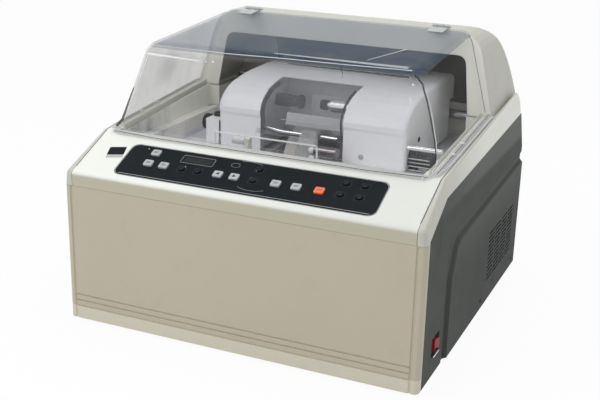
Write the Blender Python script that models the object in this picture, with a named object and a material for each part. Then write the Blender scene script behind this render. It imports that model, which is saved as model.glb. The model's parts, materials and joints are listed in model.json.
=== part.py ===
"""Benchtop lens edger: cabinet, clear hinged hood, swinging lens head and belt-driven grinding wheel.

Metres, +Z up, +X to the machine's right as its front is faced, -Y to the front.
The origin is on the bench, under the middle of the cabinet.
"""
import math

import bmesh
import bpy
from mathutils import Matrix, Vector

# Cabinet
BODY_WIDTH = 0.560
FOOT_HEIGHT = 0.006
WALL = 0.003
GAP = 0.0003
OVERRUN = 0.002
SEAM_HEIGHT = 0.219
CORNER_ROUND = 0.008
POST_DEPTH = 0.014
REAR_PANEL_INSET = 0.003
BASE_LIP = 0.018
BASE_CHAMFER = 0.007

# Sloped deck and the rim under the hood
FASCIA_HEIGHT = 0.022
DECK_RUN = 0.096
DECK_SLOPE = math.radians(23.4)
RIM_SLOPE = math.radians(4.65)
ROLL_ROUND = 0.006
KNEE_ROUND = 0.012

# Side rails
RAIL_WIDTH = 0.0137
RAIL_DROP_FRONT = 0.025
RAIL_DROP_KNEE = 0.0256
RAIL_DROP_REAR = 0.043
RAIL_REAR_ROUND = 0.031
RAIL_HOLLOW = 0.0035
RAIL_ROUND_STEPS = 4
LEAN = 0.11

# Front panel grooves
STYLE_GROOVE_WIDTH = 0.0045
STYLE_GROOVE_DEPTH = 0.0016
STYLE_GROOVE_INSET = 0.0120
PLINTH_GROOVE_HEIGHT = 0.0022
PLINTH_GROOVE_DEPTH = 0.0012
PLINTH_GROOVE_FIRST = 0.0266
PLINTH_GROOVE_PITCH = 0.0093
PLINTH_GROOVE_COUNT = 3

# Side covers
COVER_THICK = 0.004
PAD_RISE = 0.003
PAD_FRONT = 0.124
PAD_CORNER_RUN = 0.026
PAD_FRONT_DROP = 0.043
PAD_REAR_DROP = 0.029
PAD_CORNER_DROP = 0.050
PAD_SLOPE = 0.006
GROOVE_SLOPE = 0.005
GROOVE_WIDTH = 0.019
GROOVE_DEPTH = 0.002
VENT_COLUMNS = 4
VENT_ROWS = 12
VENT_REAR = 0.044
VENT_LOW = 0.044
VENT_COLUMN_PITCH = 0.041
VENT_ROW_PITCH = 0.0072
VENT_SLOT_LENGTH = 0.036
VENT_SLOT_HEIGHT = 0.0032

# Power switch in the right side cover
SWITCH_FROM_FRONT = 0.071
SWITCH_HEIGHT = 0.051
SWITCH_POCKET_LENGTH = 0.034
SWITCH_POCKET_HEIGHT = 0.030
SWITCH_POCKET_DEPTH = 0.005
SWITCH_WALL = 0.003
ROCKER_LENGTH = 0.021
ROCKER_HEIGHT = 0.015
ROCKER_PROUD = 0.004
ROCKER_VALLEY = 0.0022
ROCKER_DEEP = 0.006
ROCKER_PLAY = 0.0008
ROCKER_TILT = math.radians(8)

# Feet
FOOT_RADIUS = 0.013
FOOT_CHAMFER = 0.0015
FOOT_INSET = 0.030

# Bay under the hood
RIM_WIDTH = 0.0187
BAY_FRONT = 0.1005
BAY_LENGTH = 0.2735
TRAY_PLAY = 0.004
LEDGE_RISE = 0.030
LEDGE_WIDTH = 0.018
FLOOR_RISE = 0.016
TRAY_REAR_RISE = 0.055
TRAY_REAR = 0.037

# Hood
HOOD_WALL = 0.003
HOOD_OVERLAP = 0.006
HOOD_TAPER_FRONT = 0.034
HOOD_TAPER_REAR = 0.0365
HOOD_BASE_FRONT = 0.0965
HOOD_TOP_FRONT = 0.133
HOOD_TOP_FALL = 0.0175
HOOD_BELOW_ARCH = 0.0005
HOOD_FLANGE = 0.011
HOOD_SEAT = 0.0011
HOOD_ROUND = 0.018
HOOD_REAR_CLEAR = 0.0013
HOOD_SEGMENTS = 5

# Rear housing, the arch that the hood closes against
ARCH_OVERLAP = 0.015
ARCH_DEPTH = 0.166
ARCH_TAPER = 0.0353
ARCH_SEAT = 0.00315
ARCH_SKIRT = 0.012
ARCH_RISE = 0.132
ARCH_TOP_LEAN = 0.017
ARCH_RIDGE = 0.026
ARCH_SHOULDER_ROUND = 0.050
ARCH_REAR_RISE = 0.009
ARCH_REAR_STEPS = 10
OPENING_FRAME_LOW = 0.038
OPENING_FRAME_TOP = 0.0167
OPENING_FALL = 0.040
OPENING_ROUND = 0.015
BACK_SHEET_THICK = 0.0015
BACK_SHEET_MARGIN = 0.042
BACK_SHEET_RISE = 0.027

# Hood hinges
HINGE_FROM_EDGE = 0.0515
HINGE_WIDTH = 0.026
HINGE_AXIS_BEHIND = 0.0175
HINGE_AXIS_ABOVE = 0.0032
HINGE_BARREL_RADIUS = 0.0026
HINGE_PIN_RADIUS = 0.0012
HINGE_LEAF = 0.034
HINGE_FIXED_LEAF = 0.012
HINGE_LEAF_THICK = 0.0014

# Control panel, on the deck
PANEL_HALF = 0.2030
PANEL_LENGTH = 0.0715
PANEL_FROM_EDGE = 0.0095
PANEL_CORNER = 0.012
PANEL_THICK = 0.0012
PANEL_SUNK = 0.0003
KEY_WIDTH = 0.0140
KEY_LENGTH = 0.0122
KEY_CORNER = 0.0018
KEY_PROUD = 0.0024
KEY_DEEP = 0.005
KEY_PLAY = 0.0004
KEY_EDGE = 0.0007
DOME_RADIUS = 0.0048
DOME_PROUD = 0.0018
LOWER_ROW = 0.0326
UPPER_ROW = 0.0566
WINDOW_X = -0.0870
WINDOW_ROW = 0.0546
WINDOW_WIDTH = 0.046
WINDOW_LENGTH = 0.011
LIGHT_KEYS = {
    "key_pattern": (-0.1575, UPPER_ROW),
    "key_size": (-0.1580, LOWER_ROW),
    "key_distance": (-0.1325, LOWER_ROW),
    "key_minus": (-0.0440, LOWER_ROW),
    "key_plus": (-0.0180, LOWER_ROW),
    "key_water": (0.0465, LOWER_ROW),
    "key_clamp": (0.0775, LOWER_ROW),
    "key_start": (0.1120, LOWER_ROW),
}
DARK_KEYS = {
    "key_lens_type": (-0.1030, LOWER_ROW),
    "key_bevel": (-0.0765, LOWER_ROW),
    "key_polish": (0.0110, LOWER_ROW),
    "key_groove": (0.0110, UPPER_ROW),
    "key_side": (0.1425, UPPER_ROW),
    "key_mode": (0.1700, UPPER_ROW),
    "key_repeat": (0.1425, LOWER_ROW),
    "key_stop": (0.1700, LOWER_ROW),
}

# Lens head
HEAD_LEFT = -0.147
HEAD_RIGHT = 0.170
HEAD_BEFORE_LENS = 0.055
HEAD_CLEAR = 0.006
HEAD_HEIGHT = 0.1055
HEAD_PROFILE_SHARES = (
    (0.000, 0.000), (0.000, 0.500), (-0.009, 0.545), (-0.009, 0.620), (0.008, 0.715), (0.047, 0.808),
    (0.112, 0.894), (0.191, 0.944), (0.283, 0.976), (0.382, 0.995), (0.462, 1.000), (0.940, 1.000),
    (0.980, 0.972), (1.000, 0.900), (1.000, 0.000),
)
HEAD_WALL = 0.0025
HEAD_LEFT_ROUND = 0.014
HEAD_RIGHT_ROUND = 0.006
HEAD_ROUND_STEPS = 4
NOTCH_BEFORE_GUIDE = 0.023
NOTCH_ABOVE_GUIDE = 0.030
CHAMBER_LEFT = -0.0700
CHAMBER_RIGHT = 0.0700
CHAMBER_BEHIND_LENS = 0.0315
SHOULDER_WIDTH = 0.0215
SHOULDER_DEPTH_SHARE = 0.40
SHOULDER_HEIGHT = 0.040

# Lens axis and wheel axis
LENS_BEFORE_ARCH = 0.090
LENS_RISE = 0.079
WHEEL_RADIUS = 0.060
WHEEL_LEFT = -0.030
WHEEL_WIDTH = 0.045
WHEEL_TOP_BELOW_LENS = 0.038
WHEEL_BORE = 0.0103
SPINDLE_RADIUS = 0.010
SPINDLE_CAP_RADIUS = 0.020
SPINDLE_CAP = 0.006
PULLEY_RADIUS = 0.0125
PULLEY_WIDTH = 0.014
PULLEY_X = -0.104
BELT_THICK = 0.0018
BEARING_OUTER = 0.0153
BEARING_LENGTH = 0.016
PEDESTAL_DEPTH = 0.058
WELL_HALF = 0.062
WELL_BEFORE_LENS = 0.067
WELL_BEHIND_LENS = 0.067
WELL_DEPTH = 0.090
DRAIN_RADIUS = 0.009

# Motor and its pulley
MOTOR_BEHIND_LENS = 0.141
MOTOR_HEIGHT = 0.075
MOTOR_RADIUS = 0.046
MOTOR_LEFT = -0.070
MOTOR_LENGTH = 0.130
MOTOR_PULLEY_RADIUS = 0.0175
MOTOR_SHAFT_RADIUS = 0.007
MOTOR_SHAFT_GRIP = 0.012
MOTOR_FOOT_WIDTH = 0.090

# Carriage frame and its shafts
PLATE_THICK = 0.0045
FRAME_BEHIND_LENS = 0.053
FRAME_BACK_LIFT = 0.007
DEFLECTOR_LEFT = -0.033
DEFLECTOR_BEFORE_LENS = 0.043
DEFLECTOR_BELOW_LENS = 0.028
DEFLECTOR_HEIGHT = 0.018
DEFLECTOR_LEAN = 0.007
DEFLECTOR_THICK = 0.002
TUBE_OUTER = 0.015
LEFT_TUBE_LENGTH = 0.050
RIGHT_TUBE_LENGTH = 0.018
LENS_SHAFT_RADIUS = 0.007
CLAMP_SHAFT_RADIUS = 0.006
SLEEVE_RADIUS = 0.010
CHUCK_LEFT_FACE = -0.022
CHUCK_RIGHT_FACE = 0.010
CHUCK_RADIUS = 0.011
CHUCK_DEPTH = 0.012
FORK_X = 0.128
FORK_THICK = 0.006
CLAMP_ROD_BEFORE_LENS = 0.045
CLAMP_ROD_BELOW_LENS = 0.037
CLAMP_ROD_RADIUS = 0.004
CLAMP_ROD_END = 0.224
CLAMP_MOTOR_BEFORE_LENS = 0.025
CLAMP_MOTOR_BELOW_LENS = 0.058
CLAMP_MOTOR_RADIUS = 0.0172
CLAMP_MOTOR_LENGTH = 0.036
SWING_BEFORE_GUIDE = 0.040
SWING_ABOVE_GUIDE = 0.010
SWING_PIN_RADIUS = 0.007
SWING_LUG_RADIUS = 0.013
ARM_INNER = 0.063
ARM_WIDTH = 0.027
ARM_HALF_HEIGHT = 0.011

# Traverse
GUIDE_BEHIND_LENS = 0.196
GUIDE_RISE = 0.040
GUIDE_RADIUS = 0.008
TRAVERSE_HALF = 0.060
TRAVERSE_LUG = 0.024
TRAVERSE_BLOCK_HALF = 0.015
TRAVERSE_ARM = 0.010

# Chamber door
DOOR_THICK = 0.0025
DOOR_PLAY = 0.001
DOOR_BELOW_LENS = 0.042
DOOR_PIN_BEHIND_LENS = 0.024
DOOR_PIN_BELOW = 0.0065
DOOR_PIN_RADIUS = 0.0018
DOOR_TAIL = 0.0015
DOOR_CHEEK = 0.009
DOOR_PIN_REACH = 0.004
LIP_LEFT = -0.075
LIP_RIGHT = -0.002
LIP_DEPTH = 0.009
LIP_HEIGHT = 0.006

# Splash guard, water knob and nozzle block at the front of the bay
GUARD_FROM_BAY = 0.0735
GUARD_LEFT = -0.121
GUARD_RIGHT = 0.051
GUARD_RISE = 0.044
GUARD_THICK = 0.003
GUARD_CORNER = 0.008
GUARD_FOOT = 0.012
KNOB_BEHIND_GUARD = 0.013
KNOB_RISE = 0.031
KNOB_LEFT = -0.097
KNOB_LENGTH = 0.022
KNOB_RADIUS = 0.0058
KNOB_STEM_RADIUS = 0.0025
VALVE_POST = 0.008
NOZZLE_LEFT = 0.034
NOZZLE_LENGTH = 0.038
NOZZLE_BEFORE_WELL = 0.012
NOZZLE_RISE = 0.027
NOZZLE_RADIUS = 0.0085
NOZZLE_FOOT_SHARE = 0.5

# Power inlet in the rear panel
INLET_FROM_SIDE = 0.090
INLET_HEIGHT = 0.070
INLET_FLANGE_WIDTH = 0.050
INLET_FLANGE_HEIGHT = 0.0225
INLET_FLANGE_THICK = 0.0024
INLET_BODY_WIDTH = 0.027
INLET_BODY_HEIGHT = 0.0195
INLET_BODY_DEPTH = 0.022
INLET_SOCKET_WIDTH = 0.0235
INLET_SOCKET_HEIGHT = 0.0155
INLET_SOCKET_DEPTH = 0.016
INLET_PIN_WIDTH = 0.002
INLET_PIN_HEIGHT = 0.004
INLET_PIN_PITCH = 0.007
REAR_SLOT_COUNT = 9
REAR_SLOT_PITCH = 0.012
REAR_SLOT_LENGTH = 0.090
REAR_SLOT_HEIGHT = 0.004
REAR_SLOT_X = -0.140
REAR_SLOT_LOW = 0.070

# Derived places that several pieces share
SIDE_X = BODY_WIDTH / 2
BODY_DEPTH = BAY_FRONT + BAY_LENGTH + ARCH_DEPTH
FRONT_Y = -BODY_DEPTH / 2
REAR_Y = BODY_DEPTH / 2
RAIL_X = SIDE_X - RAIL_WIDTH
DECK_HALF = RAIL_X - 2 * GAP
KNEE_Y = FRONT_Y + DECK_RUN
ARCH_Y = REAR_Y - ARCH_DEPTH
POST_Y = FRONT_Y + POST_DEPTH
COVER_X = SIDE_X - COVER_THICK
REAR_PANEL_Y = REAR_Y - REAR_PANEL_INSET
HINGE_Y = ARCH_Y + HINGE_AXIS_BEHIND
BAY_HALF = DECK_HALF - RIM_WIDTH
TRAY_HALF = BAY_HALF - TRAY_PLAY
HOOD_BASE_HALF = BAY_HALF + HOOD_OVERLAP
HOOD_TOP_FRONT_HALF = HOOD_BASE_HALF - HOOD_TAPER_FRONT
HOOD_TOP_REAR_HALF = HOOD_BASE_HALF - HOOD_TAPER_REAR
HINGE_X = HOOD_TOP_REAR_HALF - HINGE_FROM_EDGE
ARCH_HALF = BAY_HALF + ARCH_OVERLAP
ARCH_TOP_HALF = ARCH_HALF - ARCH_TAPER
OPENING_HALF_LOW = ARCH_HALF - OPENING_FRAME_LOW
OPENING_HALF_TOP = ARCH_TOP_HALF - OPENING_FRAME_TOP
BACK_SHEET_HALF = OPENING_HALF_LOW - BACK_SHEET_MARGIN
INLET_X = SIDE_X - INLET_FROM_SIDE
LENS_Y = ARCH_Y - LENS_BEFORE_ARCH
HEAD_FRONT_Y = LENS_Y - HEAD_BEFORE_LENS
CHAMBER_REAR_Y = LENS_Y + CHAMBER_BEHIND_LENS
WELL_FRONT_Y = LENS_Y - WELL_BEFORE_LENS
WELL_REAR_Y = LENS_Y + WELL_BEHIND_LENS
MOTOR_Y = LENS_Y + MOTOR_BEHIND_LENS
FRAME_REAR_Y = LENS_Y + FRAME_BEHIND_LENS
DEFLECTOR_Y = LENS_Y - DEFLECTOR_BEFORE_LENS
CLAMP_ROD_Y = LENS_Y - CLAMP_ROD_BEFORE_LENS
CLAMP_MOTOR_Y = LENS_Y - CLAMP_MOTOR_BEFORE_LENS
GUIDE_Y = LENS_Y + GUIDE_BEHIND_LENS
HEAD_DEPTH = GUIDE_Y - HEAD_FRONT_Y
SWING_Y = GUIDE_Y - SWING_BEFORE_GUIDE
HEAD_NOTCH_Y = GUIDE_Y - NOTCH_BEFORE_GUIDE
DOOR_PIN_Y = LENS_Y + DOOR_PIN_BEHIND_LENS
GUARD_Y = FRONT_Y + BAY_FRONT + GUARD_FROM_BAY
KNOB_Y = GUARD_Y + KNOB_BEHIND_GUARD
NOZZLE_Y = WELL_FRONT_Y - NOZZLE_BEFORE_WELL
WHEEL_RIGHT = WHEEL_LEFT + WHEEL_WIDTH
DECK_FRONT_HEIGHT = SEAM_HEIGHT + FASCIA_HEIGHT
RIM_FRONT_HEIGHT = DECK_FRONT_HEIGHT + DECK_RUN * math.tan(DECK_SLOPE)
ARCH_BASE_HEIGHT = RIM_FRONT_HEIGHT + (ARCH_Y - KNEE_Y) * math.tan(RIM_SLOPE) - ARCH_SEAT
ARCH_SKIRT_HEIGHT = ARCH_BASE_HEIGHT - ARCH_SKIRT
ARCH_TOP_HEIGHT = ARCH_BASE_HEIGHT + ARCH_RISE
ARCH_REAR_HEIGHT = ARCH_BASE_HEIGHT + ARCH_REAR_RISE
OPENING_TOP_HEIGHT = ARCH_TOP_HEIGHT - OPENING_FALL
HOOD_TOP_REAR_HEIGHT = ARCH_TOP_HEIGHT - HOOD_BELOW_ARCH
HOOD_TOP_FRONT_HEIGHT = HOOD_TOP_REAR_HEIGHT - HOOD_TOP_FALL
HINGE_HEIGHT = HOOD_TOP_REAR_HEIGHT + HINGE_AXIS_ABOVE
PAD_HEIGHT_FRONT = SEAM_HEIGHT - PAD_FRONT_DROP
PAD_HEIGHT_REAR = SEAM_HEIGHT - PAD_REAR_DROP
TRAY_FLOOR = SEAM_HEIGHT + FLOOR_RISE
LEDGE_HEIGHT = TRAY_FLOOR + LEDGE_RISE
TRAY_REAR_HEIGHT = TRAY_FLOOR + TRAY_REAR_RISE
WELL_FLOOR = TRAY_FLOOR - WELL_DEPTH
BACK_SHEET_LOW = TRAY_FLOOR + BACK_SHEET_RISE
GUIDE_HEIGHT = TRAY_FLOOR + GUIDE_RISE
SWING_HEIGHT = GUIDE_HEIGHT + SWING_ABOVE_GUIDE
HEAD_NOTCH_HEIGHT = GUIDE_HEIGHT + NOTCH_ABOVE_GUIDE
HEAD_BOTTOM = TRAY_FLOOR + HEAD_CLEAR
HEAD_TOP = HEAD_BOTTOM + HEAD_HEIGHT
LENS_HEIGHT = TRAY_FLOOR + LENS_RISE
WHEEL_HEIGHT = LENS_HEIGHT - WHEEL_TOP_BELOW_LENS - WHEEL_RADIUS
DEFLECTOR_LOW = LENS_HEIGHT - DEFLECTOR_BELOW_LENS
DEFLECTOR_TOP = DEFLECTOR_LOW + DEFLECTOR_HEIGHT
CLAMP_ROD_HEIGHT = LENS_HEIGHT - CLAMP_ROD_BELOW_LENS
CLAMP_MOTOR_HEIGHT = LENS_HEIGHT - CLAMP_MOTOR_BELOW_LENS
DOOR_BOTTOM = LENS_HEIGHT - DOOR_BELOW_LENS
GUARD_TOP = TRAY_FLOOR + GUARD_RISE
KNOB_HEIGHT = TRAY_FLOOR + KNOB_RISE
NOZZLE_HEIGHT = TRAY_FLOOR + NOZZLE_RISE


def deck_height(y):
    """Height of the deck and rim's upper surface at a depth y."""
    if y < KNEE_Y:
        return DECK_FRONT_HEIGHT + (y - FRONT_Y) * math.tan(DECK_SLOPE)
    return RIM_FRONT_HEIGHT + (y - KNEE_Y) * math.tan(RIM_SLOPE)


DECK_FRAME = (
    Matrix.Translation((0, FRONT_Y + PANEL_FROM_EDGE, deck_height(FRONT_Y + PANEL_FROM_EDGE)))
    @ Matrix.Rotation(DECK_SLOPE, 4, "X")
)


def clear_scene():
    for existing in list(bpy.data.objects):
        bpy.data.objects.remove(existing, do_unlink=True)


def finish(name, colour, roughness, metallic=0, alpha=1):
    """A Principled material from a colour, a roughness and a metallic value."""
    material = bpy.data.materials.new(name)
    material.use_nodes = True
    shader = material.node_tree.nodes["Principled BSDF"]
    shader.inputs["Base Color"].default_value = (*colour, 1)
    shader.inputs["Roughness"].default_value = roughness
    shader.inputs["Metallic"].default_value = metallic
    shader.inputs["Alpha"].default_value = alpha
    return material


def rounded(corners, segments=4):
    """Outline points from (a, b, radius) corners, each corner turned into an arc of its radius."""
    outline = []
    count = len(corners)
    for index, (a, b, radius) in enumerate(corners):
        here = Vector((a, b))
        if radius <= 0:
            outline.append((a, b))
            continue
        before = (Vector(corners[index - 1][:2]) - here).normalized()
        after = (Vector(corners[(index + 1) % count][:2]) - here).normalized()
        half = before.angle(after) / 2
        reach = radius / math.tan(half)
        centre = here + (before + after).normalized() * (radius / math.sin(half))
        start = here + before * reach - centre
        turn = (here + after * reach - centre).angle_signed(start)
        for step in range(segments + 1):
            angle = turn * step / segments
            arm = Matrix.Rotation(angle, 2) @ start
            outline.append((centre.x + arm.x, centre.y + arm.y))
    return outline


def shifted(points, distance, closed=True):
    """The points moved to their left by a distance, with mitred corners."""
    moved = []
    count = len(points)
    for index, point in enumerate(points):
        here = Vector(point)
        first = index > 0 or closed
        last = index < count - 1 or closed
        arriving = (here - Vector(points[index - 1])).normalized() if first else None
        leaving = (Vector(points[(index + 1) % count]) - here).normalized() if last else arriving
        arriving = arriving or leaving
        normal = Vector((-arriving.y - leaving.y, arriving.x + leaving.x)).normalized()
        along = normal.dot(Vector((-leaving.y, leaving.x)))
        moved.append(tuple(here + normal * (distance / along)))
    return moved


def prism(outline, axis, low, high):
    """A closed prism: (a, b) is (y, z) along X, (x, z) along Y and (x, y) along Z."""
    order = {"X": (2, 0, 1), "Y": (0, 2, 1), "Z": (0, 1, 2)}[axis]
    shape = bmesh.new()
    rings = []
    for level in (low, high):
        ring = []
        for a, b in outline:
            values = (a, b, level)
            ring.append(shape.verts.new([values[place] for place in order]))
        rings.append(ring)
    near, far = rings
    shape.faces.new(near)
    shape.faces.new(far[::-1])
    for index in range(len(outline)):
        shape.faces.new((near[index], near[index - 1], far[index - 1], far[index]))
    bmesh.ops.recalc_face_normals(shape, faces=shape.faces)
    return shape


def lofted(sections):
    """A closed solid through (x, outline) sections that all have the same number of points."""
    shape = bmesh.new()
    rings = [[shape.verts.new((x, *point)) for point in outline] for x, outline in sections]
    shape.faces.new(rings[0])
    shape.faces.new(rings[-1][::-1])
    for near, far in zip(rings, rings[1:]):
        for index in range(len(near)):
            shape.faces.new((near[index], near[index - 1], far[index - 1], far[index]))
    bmesh.ops.dissolve_degenerate(shape, dist=GAP / 100, edges=shape.edges)
    bmesh.ops.recalc_face_normals(shape, faces=shape.faces)
    return shape


def rounded_bar(profile, low, high, low_round, high_round):
    """A bar along X with the profile's section, its ends rounded over all but the profile's foot."""
    sections = []
    for end, sign, radius in ((low, 1, low_round), (high, -1, high_round)):
        for step in range(HEAD_ROUND_STEPS + 1):
            angle = math.pi / 2 * step / HEAD_ROUND_STEPS
            inset = radius * (1 - math.sin(angle))
            x = end + sign * radius * (1 - math.cos(angle))
            sections.append((x, shifted(profile, -inset, closed=False)))
    return lofted(sorted(sections, key=lambda section: section[0]))


def block(low, high):
    """A closed box between two corners."""
    outline = [(low[0], low[1]), (high[0], low[1]), (high[0], high[1]), (low[0], high[1])]
    return prism(outline, "Z", low[2], high[2])


def turned(profile, axis, centre, sides=32):
    """A turned solid: (along, radius) points round a line along X, Y or Z through the centre.

    A profile that starts and ends on the line is a solid; any other is a ring.
    """
    shape = bmesh.new()
    along = "XYZ".index(axis)
    across = [place for place in range(3) if place != along]
    rings = []
    for distance, radius in profile:
        spots = sides if radius > 0 else 1
        ring = []
        for step in range(spots):
            angle = 2 * math.pi * step / sides
            spot = list(centre)
            spot[along] = distance
            spot[across[0]] += radius * math.cos(angle)
            spot[across[1]] += radius * math.sin(angle)
            ring.append(shape.verts.new(spot))
        rings.append(ring)
    pairs = list(zip(rings, rings[1:]))
    if profile[0][1] > 0:
        pairs.append((rings[-1], rings[0]))
    for one, other in pairs:
        for step in range(sides):
            here = [one[step % len(one)], one[(step + 1) % len(one)]]
            there = [other[(step + 1) % len(other)], other[step % len(other)]]
            corners = list(dict.fromkeys(here + there))
            if len(corners) > 2:
                shape.faces.new(corners)
    bmesh.ops.recalc_face_normals(shape, faces=shape.faces)
    return shape


def rod(axis, centre, radius, low, high, sides=24):
    """A plain round bar."""
    return turned([(low, 0), (low, radius), (high, radius), (high, 0)], axis, centre, sides)


def gathered(*shapes):
    """Several shapes that don't touch, as one mesh to cut with."""
    joined = bmesh.new()
    for shape in shapes:
        mesh = bpy.data.meshes.new("gathered")
        shape.to_mesh(mesh)
        joined.from_mesh(mesh)
        bpy.data.meshes.remove(mesh)
        shape.free()
    return joined


def scene_object(name, shape):
    mesh = bpy.data.meshes.new(name)
    shape.to_mesh(mesh)
    shape.free()
    item = bpy.data.objects.new(name, mesh)
    bpy.context.collection.objects.link(item)
    return item


def combined(body, tool, operation):
    """The body after a Boolean with the tool."""
    target = scene_object("target", body)
    cutter = scene_object("cutter", tool)
    modifier = target.modifiers.new("combine", "BOOLEAN")
    modifier.operation = operation
    modifier.solver = "EXACT"
    modifier.object = cutter
    bpy.context.view_layer.update()
    result = bmesh.new()
    result.from_object(target, bpy.context.evaluated_depsgraph_get())
    for item in (target, cutter):
        mesh = item.data
        bpy.data.objects.remove(item)
        bpy.data.meshes.remove(mesh)
    bmesh.ops.remove_doubles(result, verts=result.verts, dist=GAP / 100)
    return result


def cut(body, *tools):
    for tool in tools:
        body = combined(body, tool, "DIFFERENCE")
    return body


def fused(body, *others):
    for other in others:
        body = combined(body, other, "UNION")
    return body


def rounded_edges(shape, test, radius, segments=4):
    """Bevel the edges whose two ends both pass a test on their place."""
    edges = [edge for edge in shape.edges if all(test(vert.co) for vert in edge.verts)]
    bmesh.ops.bevel(
        shape, geom=edges, offset=radius, segments=segments, profile=0.5, affect="EDGES", clamp_overlap=True
    )
    return shape


def mirrored(shape):
    """The same shape on the other side of the machine."""
    copy = shape.copy()
    bmesh.ops.scale(copy, vec=(-1, 1, 1), verts=copy.verts)
    bmesh.ops.reverse_faces(copy, faces=copy.faces)
    return copy


def in_deck_frame(shape):
    """A shape made with x, distance up the slope and height off the deck, put on the deck."""
    bmesh.ops.transform(shape, matrix=DECK_FRAME, verts=shape.verts)
    return shape


def add_part(name, shape, material, origin=(0, 0, 0), smooth=30):
    """Make the shape a named object whose origin is on its joint's axis."""
    bmesh.ops.translate(shape, vec=-Vector(origin), verts=shape.verts)
    item = scene_object(name, shape)
    item.location = origin
    item.data.materials.append(material)
    item.data.shade_smooth()
    item.data.set_sharp_from_angle(angle=math.radians(smooth))
    return item


def pillow_outline(width, length, corner, segments=3):
    """A rounded rectangle about the origin."""
    half_w = width / 2
    half_l = length / 2
    corners = [(-half_w, -half_l), (half_w, -half_l), (half_w, half_l), (-half_w, half_l)]
    return rounded([(a, b, corner) for a, b in corners], segments)


def moved(outline, a, b):
    return [(x + a, y + b) for x, y in outline]


def rail_edge(y):
    """Height of the rail's lower edge, where the side cover ends."""
    low = deck_height(POST_Y) - RAIL_DROP_FRONT
    middle = deck_height(KNEE_Y) - RAIL_DROP_KNEE
    high = deck_height(REAR_Y) - RAIL_DROP_REAR
    if y < KNEE_Y:
        return low + (middle - low) * (y - POST_Y) / (KNEE_Y - POST_Y)
    return middle + (high - middle) * (y - KNEE_Y) / (REAR_Y - KNEE_Y)


def arch_front(height):
    """Depth of the arch's leaning front face at a height."""
    return ARCH_Y + ARCH_TOP_LEAN * (height - ARCH_BASE_HEIGHT) / (ARCH_TOP_HEIGHT - ARCH_BASE_HEIGHT)


def arch_profile():
    """Side outline of the arch, from its front foot over the top to its rear foot."""
    ridge_y = arch_front(ARCH_TOP_HEIGHT) + ARCH_RIDGE
    points = [(ARCH_Y, ARCH_BASE_HEIGHT), (arch_front(ARCH_TOP_HEIGHT), ARCH_TOP_HEIGHT)]
    for step in range(ARCH_REAR_STEPS + 1):
        angle = math.radians(90) * step / ARCH_REAR_STEPS
        y = ridge_y + (REAR_Y - ridge_y) * math.sin(angle)
        z = ARCH_REAR_HEIGHT + (ARCH_TOP_HEIGHT - ARCH_REAR_HEIGHT) * math.cos(angle)
        points.append((y, z))
    return points


def head_profile():
    """Side outline of the lens head, clockwise from its front foot."""
    return [
        (HEAD_FRONT_Y + share_y * HEAD_DEPTH, HEAD_BOTTOM + share_z * HEAD_HEIGHT)
        for share_y, share_z in HEAD_PROFILE_SHARES
    ]


def head_surface(y):
    """Height of the head's upper skin at a depth y, behind its brow."""
    points = head_profile()
    for (y0, z0), (y1, z1) in zip(points[4:], points[5:]):
        if y0 <= y <= y1:
            return z0 + (z1 - z0) * (y - y0) / (y1 - y0)
    return HEAD_TOP


def leaned(shape, inner):
    """Lean everything outside the inner plane inwards above the seam, as the moulded sides do."""
    bmesh.ops.bisect_plane(
        shape,
        geom=[*shape.verts, *shape.edges, *shape.faces],
        plane_co=(0, 0, SEAM_HEIGHT),
        plane_no=(0, 0, 1),
        dist=GAP / 100,
    )
    for vert in shape.verts:
        share = (vert.co.x - inner) / (SIDE_X - inner)
        vert.co.x -= LEAN * max(vert.co.z - SEAM_HEIGHT, 0) * max(share, 0)
    return shape


def make_base(finishes):
    half = COVER_X - GAP
    front = FRONT_Y + WALL + GAP
    rear = REAR_PANEL_Y - WALL - GAP
    corners = [(-half, front), (half, front), (half, rear), (-half, rear)]
    outer = []
    for (a, b), (sa, sb) in zip(corners, ((1, 1), (-1, 1), (-1, -1), (1, -1))):
        ends = [(a, b + sb * BASE_CHAMFER), (a + sa * BASE_CHAMFER, b)]
        outer.extend(ends if sa == sb else ends[::-1])
    inner = shifted(outer, WALL)
    pan = prism(outer, "Z", FOOT_HEIGHT, FOOT_HEIGHT + BASE_LIP)
    pan = cut(pan, prism(inner, "Z", FOOT_HEIGHT + WALL, FOOT_HEIGHT + BASE_LIP + OVERRUN))
    add_part("base_pan", pan, finishes["sheet"])

    top = FOOT_HEIGHT - GAP
    profile = [(0, 0), (0, FOOT_RADIUS - FOOT_CHAMFER), (FOOT_CHAMFER, FOOT_RADIUS), (top, FOOT_RADIUS), (top, 0)]
    for side, sign in (("left", -1), ("right", 1)):
        for end, y in (("front", FRONT_Y + FOOT_INSET), ("rear", REAR_Y - FOOT_INSET)):
            centre = (sign * (SIDE_X - FOOT_INSET), y, 0)
            add_part(f"foot_{end}_{side}", turned(profile, "Z", centre), finishes["rubber"])


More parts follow.
